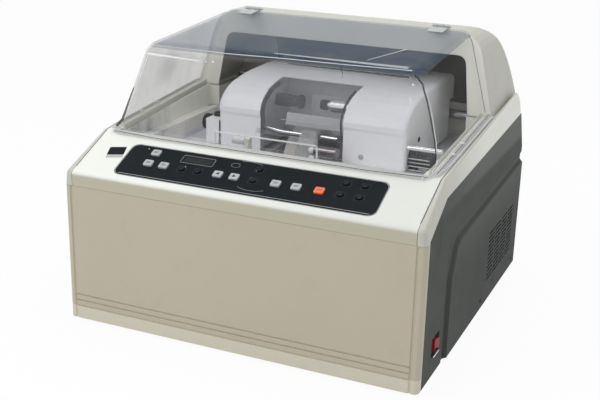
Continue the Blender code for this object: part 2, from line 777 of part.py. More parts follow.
def make_front_panel(finishes):
    groove_out = SIDE_X - STYLE_GROOVE_INSET + STYLE_GROOVE_WIDTH / 2
    groove_in = groove_out - STYLE_GROOVE_WIDTH
    groove_slope = STYLE_GROOVE_WIDTH / 4
    groove_y = FRONT_Y + STYLE_GROOVE_DEPTH
    right = [
        (0, FRONT_Y, 0),
        (groove_in, FRONT_Y, 0),
        (groove_in + groove_slope, groove_y, 0),
        (groove_out - groove_slope, groove_y, 0),
        (groove_out, FRONT_Y, 0),
        (SIDE_X, FRONT_Y, CORNER_ROUND),
        (SIDE_X, POST_Y - GAP, 0),
        (SIDE_X - WALL, POST_Y - GAP, 0),
        (SIDE_X - WALL, FRONT_Y + WALL, CORNER_ROUND - WALL),
        (0, FRONT_Y + WALL, 0),
    ]
    left = [(-x, y, radius) for x, y, radius in right[::-1]]
    outline = rounded(right[:-1] + left[:-1])
    panel = prism(outline, "Z", FOOT_HEIGHT, SEAM_HEIGHT)
    for count in range(PLINTH_GROOVE_COUNT):
        height = PLINTH_GROOVE_FIRST + count * PLINTH_GROOVE_PITCH
        reach = groove_in
        low = (-reach, FRONT_Y - OVERRUN, height - PLINTH_GROOVE_HEIGHT / 2)
        high = (reach, FRONT_Y + PLINTH_GROOVE_DEPTH, height + PLINTH_GROOVE_HEIGHT / 2)
        panel = cut(panel, block(low, high))
    add_part("front_panel", panel, finishes["beige"])


def pad_outline(grow, beyond=0):
    """The raised lower field of a side cover, larger by a margin at its front and top."""
    front = FRONT_Y + PAD_FRONT - grow
    corner = front + PAD_CORNER_RUN
    top_front = PAD_HEIGHT_FRONT + grow
    top_rear = PAD_HEIGHT_REAR + grow
    rear = REAR_Y + beyond
    low = FOOT_HEIGHT - beyond
    return rounded([
        (front, low, 0), (rear, low, 0), (rear, top_rear, 0),
        (corner, top_front, PAD_CORNER_RUN), (front, top_front - PAD_CORNER_DROP, PAD_CORNER_RUN),
    ], segments=5)


def make_side_covers(finishes):
    rear_low = rail_edge(REAR_Y) - GAP
    outline = rounded([
        (POST_Y, FOOT_HEIGHT, 0), (REAR_Y, FOOT_HEIGHT, 0), (REAR_Y, rear_low, 0),
        (KNEE_Y, rail_edge(KNEE_Y) - GAP, 0), (POST_Y, rail_edge(POST_Y) - GAP, 0),
    ])
    cover = prism(outline, "X", COVER_X, SIDE_X)
    channel = lofted([
        (SIDE_X - GROOVE_DEPTH, pad_outline(GROOVE_WIDTH - GROOVE_SLOPE, OVERRUN)),
        (SIDE_X, pad_outline(GROOVE_WIDTH, OVERRUN)),
        (SIDE_X + OVERRUN, pad_outline(GROOVE_WIDTH + GAP, OVERRUN)),
    ])
    cover = cut(cover, channel)
    pad_face = SIDE_X + PAD_RISE
    floor = SIDE_X - GROOVE_DEPTH
    pad = lofted([(COVER_X, pad_outline(PAD_SLOPE)), (floor, pad_outline(PAD_SLOPE)), (pad_face, pad_outline(0))])
    cover = fused(cover, pad)
    hollow = prism(shifted(pad_outline(0), COVER_THICK), "X", COVER_X - OVERRUN, COVER_X + PAD_RISE)
    cover = cut(cover, hollow)
    slots = []
    for column in range(VENT_COLUMNS):
        for row in range(VENT_ROWS):
            y = REAR_Y - VENT_REAR - column * VENT_COLUMN_PITCH - VENT_SLOT_LENGTH / 2
            z = VENT_LOW + row * VENT_ROW_PITCH
            low = (COVER_X - OVERRUN, y - VENT_SLOT_LENGTH / 2, z)
            high = (pad_face + OVERRUN, y + VENT_SLOT_LENGTH / 2, z + VENT_SLOT_HEIGHT)
            slots.append(block(low, high))
    cover = cut(cover, gathered(*slots))
    plain = cover.copy()
    add_part("side_cover_left", mirrored(leaned(plain, RAIL_X)), finishes["charcoal"])

    y = FRONT_Y + SWITCH_FROM_FRONT
    face = SIDE_X - SWITCH_POCKET_DEPTH
    back = face - SWITCH_WALL
    half_y = SWITCH_POCKET_LENGTH / 2
    half_z = SWITCH_POCKET_HEIGHT / 2
    shell_y = half_y + WALL
    shell_z = half_z + WALL
    box = block((back, y - shell_y, SWITCH_HEIGHT - shell_z), (COVER_X + GAP, y + shell_y, SWITCH_HEIGHT + shell_z))
    pocket = block((face, y - half_y, SWITCH_HEIGHT - half_z), (SIDE_X + OVERRUN, y + half_y, SWITCH_HEIGHT + half_z))
    hole_y = ROCKER_LENGTH / 2 + ROCKER_PLAY
    hole_z = ROCKER_HEIGHT / 2 + ROCKER_PLAY / 2
    hole = block(
        (back - OVERRUN, y - hole_y, SWITCH_HEIGHT - hole_z),
        (face + OVERRUN, y + hole_y, SWITCH_HEIGHT + hole_z),
    )
    cover = cut(fused(cover, box), pocket, hole)
    add_part("side_cover_right", leaned(cover, RAIL_X), finishes["charcoal"])

    pivot = face - SWITCH_WALL / 2
    half = ROCKER_LENGTH / 2
    crest = pivot + ROCKER_PROUD
    rocker = prism(
        [
            (pivot - ROCKER_DEEP, y - half / 2), (pivot, y - half), (crest, y - half),
            (crest - ROCKER_VALLEY, y), (crest, y + half), (pivot, y + half), (pivot - ROCKER_DEEP, y + half / 2),
        ],
        "Z", SWITCH_HEIGHT - ROCKER_HEIGHT / 2, SWITCH_HEIGHT + ROCKER_HEIGHT / 2,
    )
    axis = (pivot, y, SWITCH_HEIGHT)
    bmesh.ops.rotate(rocker, cent=axis, matrix=Matrix.Rotation(ROCKER_TILT, 3, "Z"), verts=rocker.verts)
    add_part("power_rocker", rocker, finishes["red"], origin=axis)


def make_rear_panel(finishes):
    half = COVER_X - GAP
    inner = REAR_PANEL_Y - WALL
    shoulder = rail_edge(REAR_PANEL_Y) - 2 * GAP
    leaned_half = half - LEAN * (shoulder - SEAM_HEIGHT)
    top = ARCH_SKIRT_HEIGHT - GAP
    right = [
        (half, FOOT_HEIGHT), (half, SEAM_HEIGHT), (leaned_half, shoulder), (RAIL_X - GAP, shoulder), (RAIL_X - GAP, top)
    ]
    panel = prism(right + [(-x, z) for x, z in right[::-1]], "Y", inner, REAR_PANEL_Y)
    inlet_w = INLET_BODY_WIDTH / 2 + GAP
    inlet_h = INLET_BODY_HEIGHT / 2 + GAP
    openings = [
        block(
            (INLET_X - inlet_w, inner - OVERRUN, INLET_HEIGHT - inlet_h),
            (INLET_X + inlet_w, REAR_PANEL_Y + OVERRUN, INLET_HEIGHT + inlet_h),
        )
    ]
    for count in range(REAR_SLOT_COUNT):
        z = REAR_SLOT_LOW + count * REAR_SLOT_PITCH
        low = (REAR_SLOT_X - REAR_SLOT_LENGTH / 2, inner - OVERRUN, z)
        high = (REAR_SLOT_X + REAR_SLOT_LENGTH / 2, REAR_PANEL_Y + OVERRUN, z + REAR_SLOT_HEIGHT)
        openings.append(block(low, high))
    add_part("rear_panel", cut(panel, gathered(*openings)), finishes["charcoal"])

    face = REAR_PANEL_Y + GAP
    outer = face + INLET_FLANGE_THICK
    flange = block(
        (INLET_X - INLET_FLANGE_WIDTH / 2, face, INLET_HEIGHT - INLET_FLANGE_HEIGHT / 2),
        (INLET_X + INLET_FLANGE_WIDTH / 2, outer, INLET_HEIGHT + INLET_FLANGE_HEIGHT / 2),
    )
    body = block(
        (INLET_X - INLET_BODY_WIDTH / 2, face - INLET_BODY_DEPTH, INLET_HEIGHT - INLET_BODY_HEIGHT / 2),
        (INLET_X + INLET_BODY_WIDTH / 2, face + GAP, INLET_HEIGHT + INLET_BODY_HEIGHT / 2),
    )
    floor = outer - INLET_SOCKET_DEPTH
    socket = block(
        (INLET_X - INLET_SOCKET_WIDTH / 2, floor, INLET_HEIGHT - INLET_SOCKET_HEIGHT / 2),
        (INLET_X + INLET_SOCKET_WIDTH / 2, outer + OVERRUN, INLET_HEIGHT + INLET_SOCKET_HEIGHT / 2),
    )
    inlet = cut(fused(flange, body), socket)
    for count in (-1, 0, 1):
        x = INLET_X + count * INLET_PIN_PITCH
        low = (x - INLET_PIN_WIDTH / 2, floor - GAP, INLET_HEIGHT - INLET_PIN_HEIGHT / 2)
        high = (x + INLET_PIN_WIDTH / 2, outer - OVERRUN, INLET_HEIGHT + INLET_PIN_HEIGHT / 2)
        inlet = fused(inlet, block(low, high))
    add_part("power_inlet", inlet, finishes["black"])


def key_outlines():
    """Each key's name, outline and place in the deck's own frame, and whether it is domed."""
    keys = []
    square = pillow_outline(KEY_WIDTH, KEY_LENGTH, KEY_CORNER)
    for name, (x, row) in LIGHT_KEYS.items():
        keys.append((name, square, x, row, False))
    sides = 16
    ring = [
        (DOME_RADIUS * math.cos(2 * math.pi * step / sides), DOME_RADIUS * math.sin(2 * math.pi * step / sides))
        for step in range(sides)
    ]
    for name, (x, row) in DARK_KEYS.items():
        keys.append((name, ring, x, row, True))
    return keys


def key_holes():
    """Cutters for the keys' stems, clear of them all round."""
    holes = []
    for _, outline, x, row, _ in key_outlines():
        wide = moved(shifted(outline, -KEY_PLAY), x, row)
        holes.append(in_deck_frame(prism(wide, "Z", -KEY_DEEP - WALL, KEY_DEEP)))
    return gathered(*holes)


def make_deck(finishes):
    line = [
        (FRONT_Y, SEAM_HEIGHT + GAP),
        (FRONT_Y, DECK_FRONT_HEIGHT),
        (KNEE_Y, deck_height(KNEE_Y)),
        (ARCH_Y - GAP, deck_height(ARCH_Y - GAP)),
    ]
    under = shifted(line, -WALL, closed=False)
    radii = (0, ROLL_ROUND + WALL, KNEE_ROUND, 0)
    inner_radii = (0, ROLL_ROUND, KNEE_ROUND + WALL, 0)
    upper = [(*point, radius) for point, radius in zip(line, radii)]
    lower = [(*point, radius) for point, radius in zip(under, inner_radii)]
    deck = prism(rounded(upper + lower[::-1]), "X", -DECK_HALF, DECK_HALF)
    bay_y = FRONT_Y + BAY_FRONT
    deck = cut(deck, block((-BAY_HALF, bay_y, SEAM_HEIGHT), (BAY_HALF, ARCH_Y + OVERRUN, HEAD_TOP)))
    pocket = moved(
        pillow_outline(2 * PANEL_HALF + 2 * GAP, PANEL_LENGTH + 2 * GAP, PANEL_CORNER, 5), 0, PANEL_LENGTH / 2
    )
    floor = -PANEL_SUNK - PANEL_THICK - GAP
    deck = cut(deck, in_deck_frame(prism(pocket, "Z", floor, OVERRUN)))
    deck = cut(deck, key_holes())
    add_part("deck_cover", deck, finishes["cream"])

    plate = moved(pillow_outline(2 * PANEL_HALF, PANEL_LENGTH, PANEL_CORNER, 5), 0, PANEL_LENGTH / 2)
    panel = in_deck_frame(prism(plate, "Z", -PANEL_SUNK - PANEL_THICK, -PANEL_SUNK))
    panel = cut(panel, key_holes())
    window = moved(pillow_outline(WINDOW_WIDTH, WINDOW_LENGTH, KEY_CORNER), WINDOW_X, WINDOW_ROW)
    panel = cut(panel, in_deck_frame(prism(shifted(window, -GAP), "Z", floor - GAP, OVERRUN)))
    add_part("control_panel", panel, finishes["black"])
    glass = in_deck_frame(prism(window, "Z", -PANEL_SUNK - PANEL_THICK, -PANEL_SUNK / 2))
    add_part("display_window", glass, finishes["glass_black"])

    for name, outline, x, row, domed in key_outlines():
        place = moved(outline, x, row)
        top = DOME_PROUD if domed else KEY_PROUD
        key = prism(place, "Z", -KEY_DEEP, top)
        edge = DOME_PROUD / 2 if domed else KEY_EDGE
        rounded_edges(key, lambda spot: spot.z > top - GAP / 10, edge, 3 if domed else 2)
        if domed:
            colour = "gloss_black"
        elif name == "key_start":
            colour = "orange"
        else:
            colour = "key_grey"
        origin = DECK_FRAME @ Vector((x, row, 0))
        add_part(name, in_deck_frame(key), finishes[colour], origin=origin)


def make_rails(finishes):
    crest = rounded([
        (FRONT_Y, SEAM_HEIGHT + GAP, 0),
        (FRONT_Y, DECK_FRONT_HEIGHT, ROLL_ROUND + WALL),
        (KNEE_Y, deck_height(KNEE_Y), KNEE_ROUND),
        (REAR_Y, deck_height(REAR_Y), RAIL_REAR_ROUND),
        (REAR_Y, rail_edge(REAR_Y), 0),
    ], 5)
    post_y = POST_Y - GAP
    under = [(KNEE_Y, rail_edge(KNEE_Y)), (post_y, rail_edge(post_y)), (post_y, SEAM_HEIGHT + GAP)]
    sections = [(RAIL_X, crest + under)]
    for step in range(RAIL_ROUND_STEPS + 1):
        angle = math.pi / 2 * step / RAIL_ROUND_STEPS
        drop = CORNER_ROUND * (1 - math.cos(angle))
        x = SIDE_X - CORNER_ROUND + CORNER_ROUND * math.sin(angle)
        sections.append((x, shifted(crest, -drop, closed=False) + under))
    rail = lofted(sections)
    inner = shifted(crest, -RAIL_HOLLOW, closed=False)
    lift = RAIL_HOLLOW + WALL
    floor = [(y, z + lift) for y, z in under[:2]]
    inner = inner[1:-1] + [(inner[-1][0], rail_edge(REAR_Y) + lift), *floor, (floor[-1][0] - WALL, floor[-1][1])]
    hollow = prism(inner, "X", RAIL_X - OVERRUN, SIDE_X - CORNER_ROUND / 2 - GAP)
    rail = leaned(cut(rail, hollow), RAIL_X)
    add_part("rail_left", mirrored(rail), finishes["ivory"])
    add_part("rail_right", rail, finishes["ivory"])


def make_rear_housing(finishes):
    profile = arch_profile()
    skirt = [(REAR_Y, ARCH_SKIRT_HEIGHT), (ARCH_Y, ARCH_SKIRT_HEIGHT)]
    side = profile + skirt
    front = [
        (-DECK_HALF, ARCH_SKIRT_HEIGHT, 0), (DECK_HALF, ARCH_SKIRT_HEIGHT, 0), (DECK_HALF, ARCH_BASE_HEIGHT, 0),
        (ARCH_HALF, ARCH_BASE_HEIGHT, 0), (ARCH_TOP_HALF, ARCH_TOP_HEIGHT, ARCH_SHOULDER_ROUND),
        (-ARCH_TOP_HALF, ARCH_TOP_HEIGHT, ARCH_SHOULDER_ROUND), (-ARCH_HALF, ARCH_BASE_HEIGHT, 0),
        (-DECK_HALF, ARCH_BASE_HEIGHT, 0),
    ]
    face = rounded(front, 6)
    long_way = REAR_Y + OVERRUN
    outer = combined(
        prism(side, "X", -SIDE_X, SIDE_X), prism(face, "Y", ARCH_Y - OVERRUN, long_way), "INTERSECT"
    )
    inner_side = shifted(side, -WALL)
    low = ARCH_SKIRT_HEIGHT - OVERRUN
    inner_side = inner_side[:-2] + [(inner_side[-2][0], low), (inner_side[-1][0], low)]
    inner_face = shifted(face, WALL)
    inner_face = [(x, low if z < ARCH_SKIRT_HEIGHT + 2 * WALL else z) for x, z in inner_face]
    inner = combined(
        prism(inner_side, "X", -SIDE_X, SIDE_X), prism(inner_face, "Y", ARCH_Y - OVERRUN, long_way), "INTERSECT"
    )
    arch = cut(outer, inner)
    opening = rounded([
        (-OPENING_HALF_LOW, low, 0), (OPENING_HALF_LOW, low, 0),
        (OPENING_HALF_TOP, OPENING_TOP_HEIGHT, OPENING_ROUND),
        (-OPENING_HALF_TOP, OPENING_TOP_HEIGHT, OPENING_ROUND),
    ], 5)
    arch = cut(arch, prism(opening, "Y", ARCH_Y - OVERRUN, ARCH_Y + ARCH_TOP_LEAN + 2 * WALL))
    notch = ARCH_HALF - WALL
    arch = cut(arch, block((-notch, ARCH_Y - OVERRUN, low), (notch, ARCH_Y + WALL + GAP, ARCH_BASE_HEIGHT)))
    add_part("rear_housing", arch, finishes["beige_light"])

    outside = shifted(profile[2:], -WALL - GAP, closed=False)
    inside = shifted(profile[2:], -WALL - GAP - BACK_SHEET_THICK, closed=False)
    outside.append((outside[-1][0], BACK_SHEET_LOW))
    inside.append((inside[-1][0], BACK_SHEET_LOW))
    lower_out = REAR_PANEL_Y - WALL - GAP
    outside = [(min(y, lower_out), z) for y, z in outside]
    inside = [(min(y, lower_out - BACK_SHEET_THICK), z) for y, z in inside]
    sheet = prism(outside + inside[::-1], "X", -BACK_SHEET_HALF, BACK_SHEET_HALF)
    add_part("recess_back", sheet, finishes["slate"])


def make_tray(finishes):
    front = FRONT_Y + BAY_FRONT + WALL + GAP
    rear = REAR_Y - TRAY_REAR
    under_rim = WALL / math.cos(RIM_SLOPE) + GAP
    top_front = deck_height(front) - under_rim
    top_arch = deck_height(ARCH_Y) - under_rim
    behind = ARCH_Y + 2 * WALL
    low = LEDGE_HEIGHT - WALL
    side = [
        (front, low), (rear, low), (rear, TRAY_REAR_HEIGHT), (behind, TRAY_REAR_HEIGHT),
        (ARCH_Y, top_arch), (front, top_front),
    ]
    upper = prism(side, "X", -TRAY_HALF, TRAY_HALF)
    step_half = TRAY_HALF - LEDGE_WIDTH
    step_front = front + LEDGE_WIDTH
    lower = block((-step_half, step_front, TRAY_FLOOR - WALL), (step_half, rear, LEDGE_HEIGHT))
    well_half = WELL_HALF + WALL
    well = block(
        (-well_half, WELL_FRONT_Y - WALL, WELL_FLOOR - WALL), (well_half, WELL_REAR_Y + WALL, TRAY_FLOOR - GAP)
    )
    tray = fused(upper, lower, well)
    high = HOOD_TOP_FRONT_HEIGHT
    inner_half = TRAY_HALF - WALL
    tray = cut(
        tray,
        block((-inner_half, front + WALL, LEDGE_HEIGHT), (inner_half, rear - WALL, high)),
        block((WALL - step_half, step_front + WALL, TRAY_FLOOR), (step_half - WALL, rear - WALL, high)),
        block((-WELL_HALF, WELL_FRONT_Y, WELL_FLOOR), (WELL_HALF, WELL_REAR_Y, high)),
        rod("X", (0, LENS_Y, WHEEL_HEIGHT), SPINDLE_RADIUS + 3 * GAP, -well_half - OVERRUN, OVERRUN - WELL_HALF),
        rod("Z", (0, (WELL_REAR_Y + LENS_Y) / 2, 0), DRAIN_RADIUS, WELL_FLOOR - 2 * WALL, WELL_FLOOR + WALL),
        rod("X", (0, GUIDE_Y, GUIDE_HEIGHT), GUIDE_RADIUS + GAP, -TRAY_HALF - OVERRUN, TRAY_HALF + OVERRUN),
    )
    post_x = KNOB_LEFT + KNOB_LENGTH + GAP
    post_half = KNOB_RADIUS
    post = block(
        (post_x, KNOB_Y - post_half, TRAY_FLOOR - WALL / 2),
        (post_x + VALVE_POST, KNOB_Y + post_half, KNOB_HEIGHT + post_half),
    )
    tray = fused(tray, post)
    stem = KNOB_STEM_RADIUS + GAP
    tray = cut(tray, rod("X", (0, KNOB_Y, KNOB_HEIGHT), stem, post_x - OVERRUN, post_x + VALVE_POST + OVERRUN, 12))
    add_part("bay_tray", tray, finishes["lilac"])

    reach = TRAY_HALF - GAP
    shaft = rod("X", (0, GUIDE_Y, GUIDE_HEIGHT), GUIDE_RADIUS, -reach, reach)
    add_part("guide_shaft", shaft, finishes["chrome"])


def make_bay_fittings(finishes):
    low = TRAY_FLOOR + GAP
    outline = rounded([
        (GUARD_LEFT, low, 0), (GUARD_RIGHT, low, 0),
        (GUARD_RIGHT, GUARD_TOP, GUARD_CORNER), (GUARD_LEFT, GUARD_TOP, GUARD_CORNER),
    ], 5)
    plate = prism(outline, "Y", GUARD_Y, GUARD_Y + GUARD_THICK)
    foot = block((GUARD_LEFT, GUARD_Y - GUARD_FOOT, low), (GUARD_RIGHT, GUARD_Y + GAP, low + GUARD_THICK))
    add_part("splash_guard", fused(plate, foot), finishes["clear"])

    right = KNOB_LEFT + KNOB_LENGTH
    edge = KNOB_RADIUS / 4
    stem_end = right + VALVE_POST / 2
    profile = [
        (KNOB_LEFT, 0), (KNOB_LEFT, KNOB_RADIUS - edge), (KNOB_LEFT + edge, KNOB_RADIUS), (right - edge, KNOB_RADIUS),
        (right, KNOB_RADIUS - edge), (right, KNOB_STEM_RADIUS), (stem_end, KNOB_STEM_RADIUS), (stem_end, 0),
    ]
    centre = (KNOB_LEFT, KNOB_Y, KNOB_HEIGHT)
    add_part("water_knob", turned(profile, "X", centre, 20), finishes["white"], origin=centre)

    right = NOZZLE_LEFT + NOZZLE_LENGTH
    edge = NOZZLE_RADIUS / 6
    profile = [
        (NOZZLE_LEFT, 0), (NOZZLE_LEFT, NOZZLE_RADIUS - edge), (NOZZLE_LEFT + edge, NOZZLE_RADIUS),
        (right - edge, NOZZLE_RADIUS), (right, NOZZLE_RADIUS - edge), (right, 0),
    ]
    nozzle = turned(profile, "X", (0, NOZZLE_Y, NOZZLE_HEIGHT), 24)
    foot_half = NOZZLE_LENGTH * NOZZLE_FOOT_SHARE / 2
    middle = NOZZLE_LEFT + NOZZLE_LENGTH / 2
    foot = block(
        (middle - foot_half, NOZZLE_Y - NOZZLE_RADIUS / 2, low), (middle + foot_half, NOZZLE_Y + NOZZLE_RADIUS / 2, NOZZLE_HEIGHT)
    )
    add_part("nozzle_block", fused(nozzle, foot), finishes["dark_metal"])


def make_hood(finishes):
    base_front = FRONT_Y + HOOD_BASE_FRONT
    top_front = FRONT_Y + HOOD_TOP_FRONT
    lift = HOOD_WALL + HOOD_SEAT

    def rear(height):
        return arch_front(height) - HOOD_REAR_CLEAR

    def foot(y):
        return deck_height(y) + lift

    base_rear = rear(foot(ARCH_Y))
    shape = bmesh.new()
    spots = {}
    for sign in (-1, 1):
        spots[sign] = [
            shape.verts.new((sign * HOOD_BASE_HALF, base_front, foot(base_front))),
            shape.verts.new((sign * HOOD_BASE_HALF, base_rear, foot(base_rear))),
            shape.verts.new((sign * HOOD_TOP_REAR_HALF, rear(HOOD_TOP_REAR_HEIGHT), HOOD_TOP_REAR_HEIGHT)),
            shape.verts.new((sign * HOOD_TOP_FRONT_HALF, top_front, HOOD_TOP_FRONT_HEIGHT)),
        ]
    left, right = spots[-1], spots[1]
    shape.faces.new(left)
    shape.faces.new(right)
    for index in range(4):
        shape.faces.new((left[index], left[index - 1], right[index - 1], right[index]))
    bmesh.ops.recalc_face_normals(shape, faces=shape.faces)
    sharp = [
        edge for edge in shape.edges
        if set(edge.verts) in (
            {left[0], left[3]}, {right[0], right[3]}, {left[3], right[3]}, {left[2], left[3]}, {right[2], right[3]}
        )
    ]
    bmesh.ops.bevel(
        shape, geom=sharp, offset=HOOD_ROUND, segments=HOOD_SEGMENTS, profile=0.5, affect="EDGES", clamp_overlap=True
    )
    behind = rear(ARCH_BASE_HEIGHT) - OVERRUN
    open_faces = [
        face for face in shape.faces
        if all(vert.co.y > behind for vert in face.verts)
        or all(abs(vert.co.z - foot(vert.co.y)) < GAP for vert in face.verts)
    ]
    bmesh.ops.delete(shape, geom=open_faces, context="FACES")
    rim = [
        edge for edge in shape.edges
        if edge.is_boundary and all(abs(vert.co.z - foot(vert.co.y)) < GAP for vert in edge.verts)
    ]
    outward = {}
    for edge in rim:
        run = edge.verts[1].co - edge.verts[0].co
        side = Vector((run.y, -run.x, 0)).normalized()
        middle = (edge.verts[0].co + edge.verts[1].co) / 2
        if side.dot(Vector((middle.x, middle.y - ARCH_Y, 0))) < 0:
            side.negate()
        for vert in edge.verts:
            outward.setdefault(vert, []).append(side)
    grown = bmesh.ops.extrude_edge_only(shape, edges=rim)["geom"]
    new_verts = [item for item in grown if isinstance(item, bmesh.types.BMVert)]
    for vert in new_verts:
        for edge in vert.link_edges:
            other = edge.other_vert(vert)
            if other in outward:
                sides = outward[other]
                mean = sum(sides, Vector()) / len(sides)
                vert.co += mean * (HOOD_FLANGE / mean.length_squared)
                vert.co.z = foot(vert.co.y)
                break
    item = scene_object("hood_skin", shape)
    shell = item.modifiers.new("wall", "SOLIDIFY")
    shell.thickness = HOOD_WALL
    shell.offset = -1
    shell.use_even_offset = True
    bpy.context.view_layer.update()
    hood = bmesh.new()
    hood.from_object(item, bpy.context.evaluated_depsgraph_get())
    bpy.data.objects.remove(item)
    bmesh.ops.recalc_face_normals(hood, faces=hood.faces)
    axis = (0, HINGE_Y, HINGE_HEIGHT)
    add_part("hood", hood, finishes["clear"], origin=axis)

    slope = (HOOD_TOP_REAR_HEIGHT - HOOD_TOP_FRONT_HEIGHT) / (rear(HOOD_TOP_REAR_HEIGHT) - top_front)

    def hood_top(y):
        return HOOD_TOP_REAR_HEIGHT + slope * (y - rear(HOOD_TOP_REAR_HEIGHT))

    half = HINGE_WIDTH / 2
    third = HINGE_WIDTH / 6
    ridge = ARCH_TOP_HEIGHT + GAP
    start = HINGE_Y - HINGE_LEAF
    end = HINGE_Y + HINGE_FIXED_LEAF
    moving_leaf = [
        (start, hood_top(start) + GAP), (HINGE_Y - HOOD_REAR_CLEAR, hood_top(HINGE_Y) + GAP),
        (HINGE_Y - HOOD_REAR_CLEAR, hood_top(HINGE_Y) + GAP + HINGE_LEAF_THICK),
        (start, hood_top(start) + GAP + HINGE_LEAF_THICK),
    ]
    fixed_leaf = [
        (HINGE_Y + GAP, ridge), (end, ridge), (end, ridge + HINGE_LEAF_THICK), (HINGE_Y + GAP, ridge + HINGE_LEAF_THICK)
    ]
    barrel = HINGE_BARREL_RADIUS
    for side, sign in (("left", -1), ("right", 1)):
        x = sign * HINGE_X
        centre = (0, HINGE_Y, HINGE_HEIGHT)
        leaf = prism(moving_leaf, "X", x - half, x + half)
        slots = [
            block(
                (x + low, HINGE_Y - barrel - 2 * GAP, ridge - OVERRUN), (x + high, HINGE_Y + barrel, HINGE_HEIGHT + barrel)
            )
            for low, high in ((-half - GAP, -third + GAP), (third - GAP, half + GAP))
        ]
        leaf = cut(leaf, gathered(*slots))
        knuckle = rod("X", centre, barrel, x - third + GAP, x + third - GAP, 16)
        pin = rod("X", centre, HINGE_PIN_RADIUS, x - half, x + half, 12)
        add_part(f"hood_hinge_{side}", fused(leaf, knuckle, pin), finishes["steel"], origin=(x, *centre[1:]))

        fixed = prism(fixed_leaf, "X", x - half, x + half)
        middle = block(
            (x - third - GAP, HINGE_Y - barrel, ridge - OVERRUN),
            (x + third + GAP, HINGE_Y + barrel + 2 * GAP, HINGE_HEIGHT + barrel),
        )
        fixed = cut(fixed, middle)
        for low, high in ((-half, -third - GAP), (third + GAP, half)):
            fixed = fused(fixed, rod("X", centre, barrel, x + low, x + high, 16))
        bore = rod("X", centre, HINGE_PIN_RADIUS + GAP, x - half - OVERRUN, x + half + OVERRUN, 12)
        add_part(f"hinge_block_{side}", cut(fixed, bore), finishes["steel"])


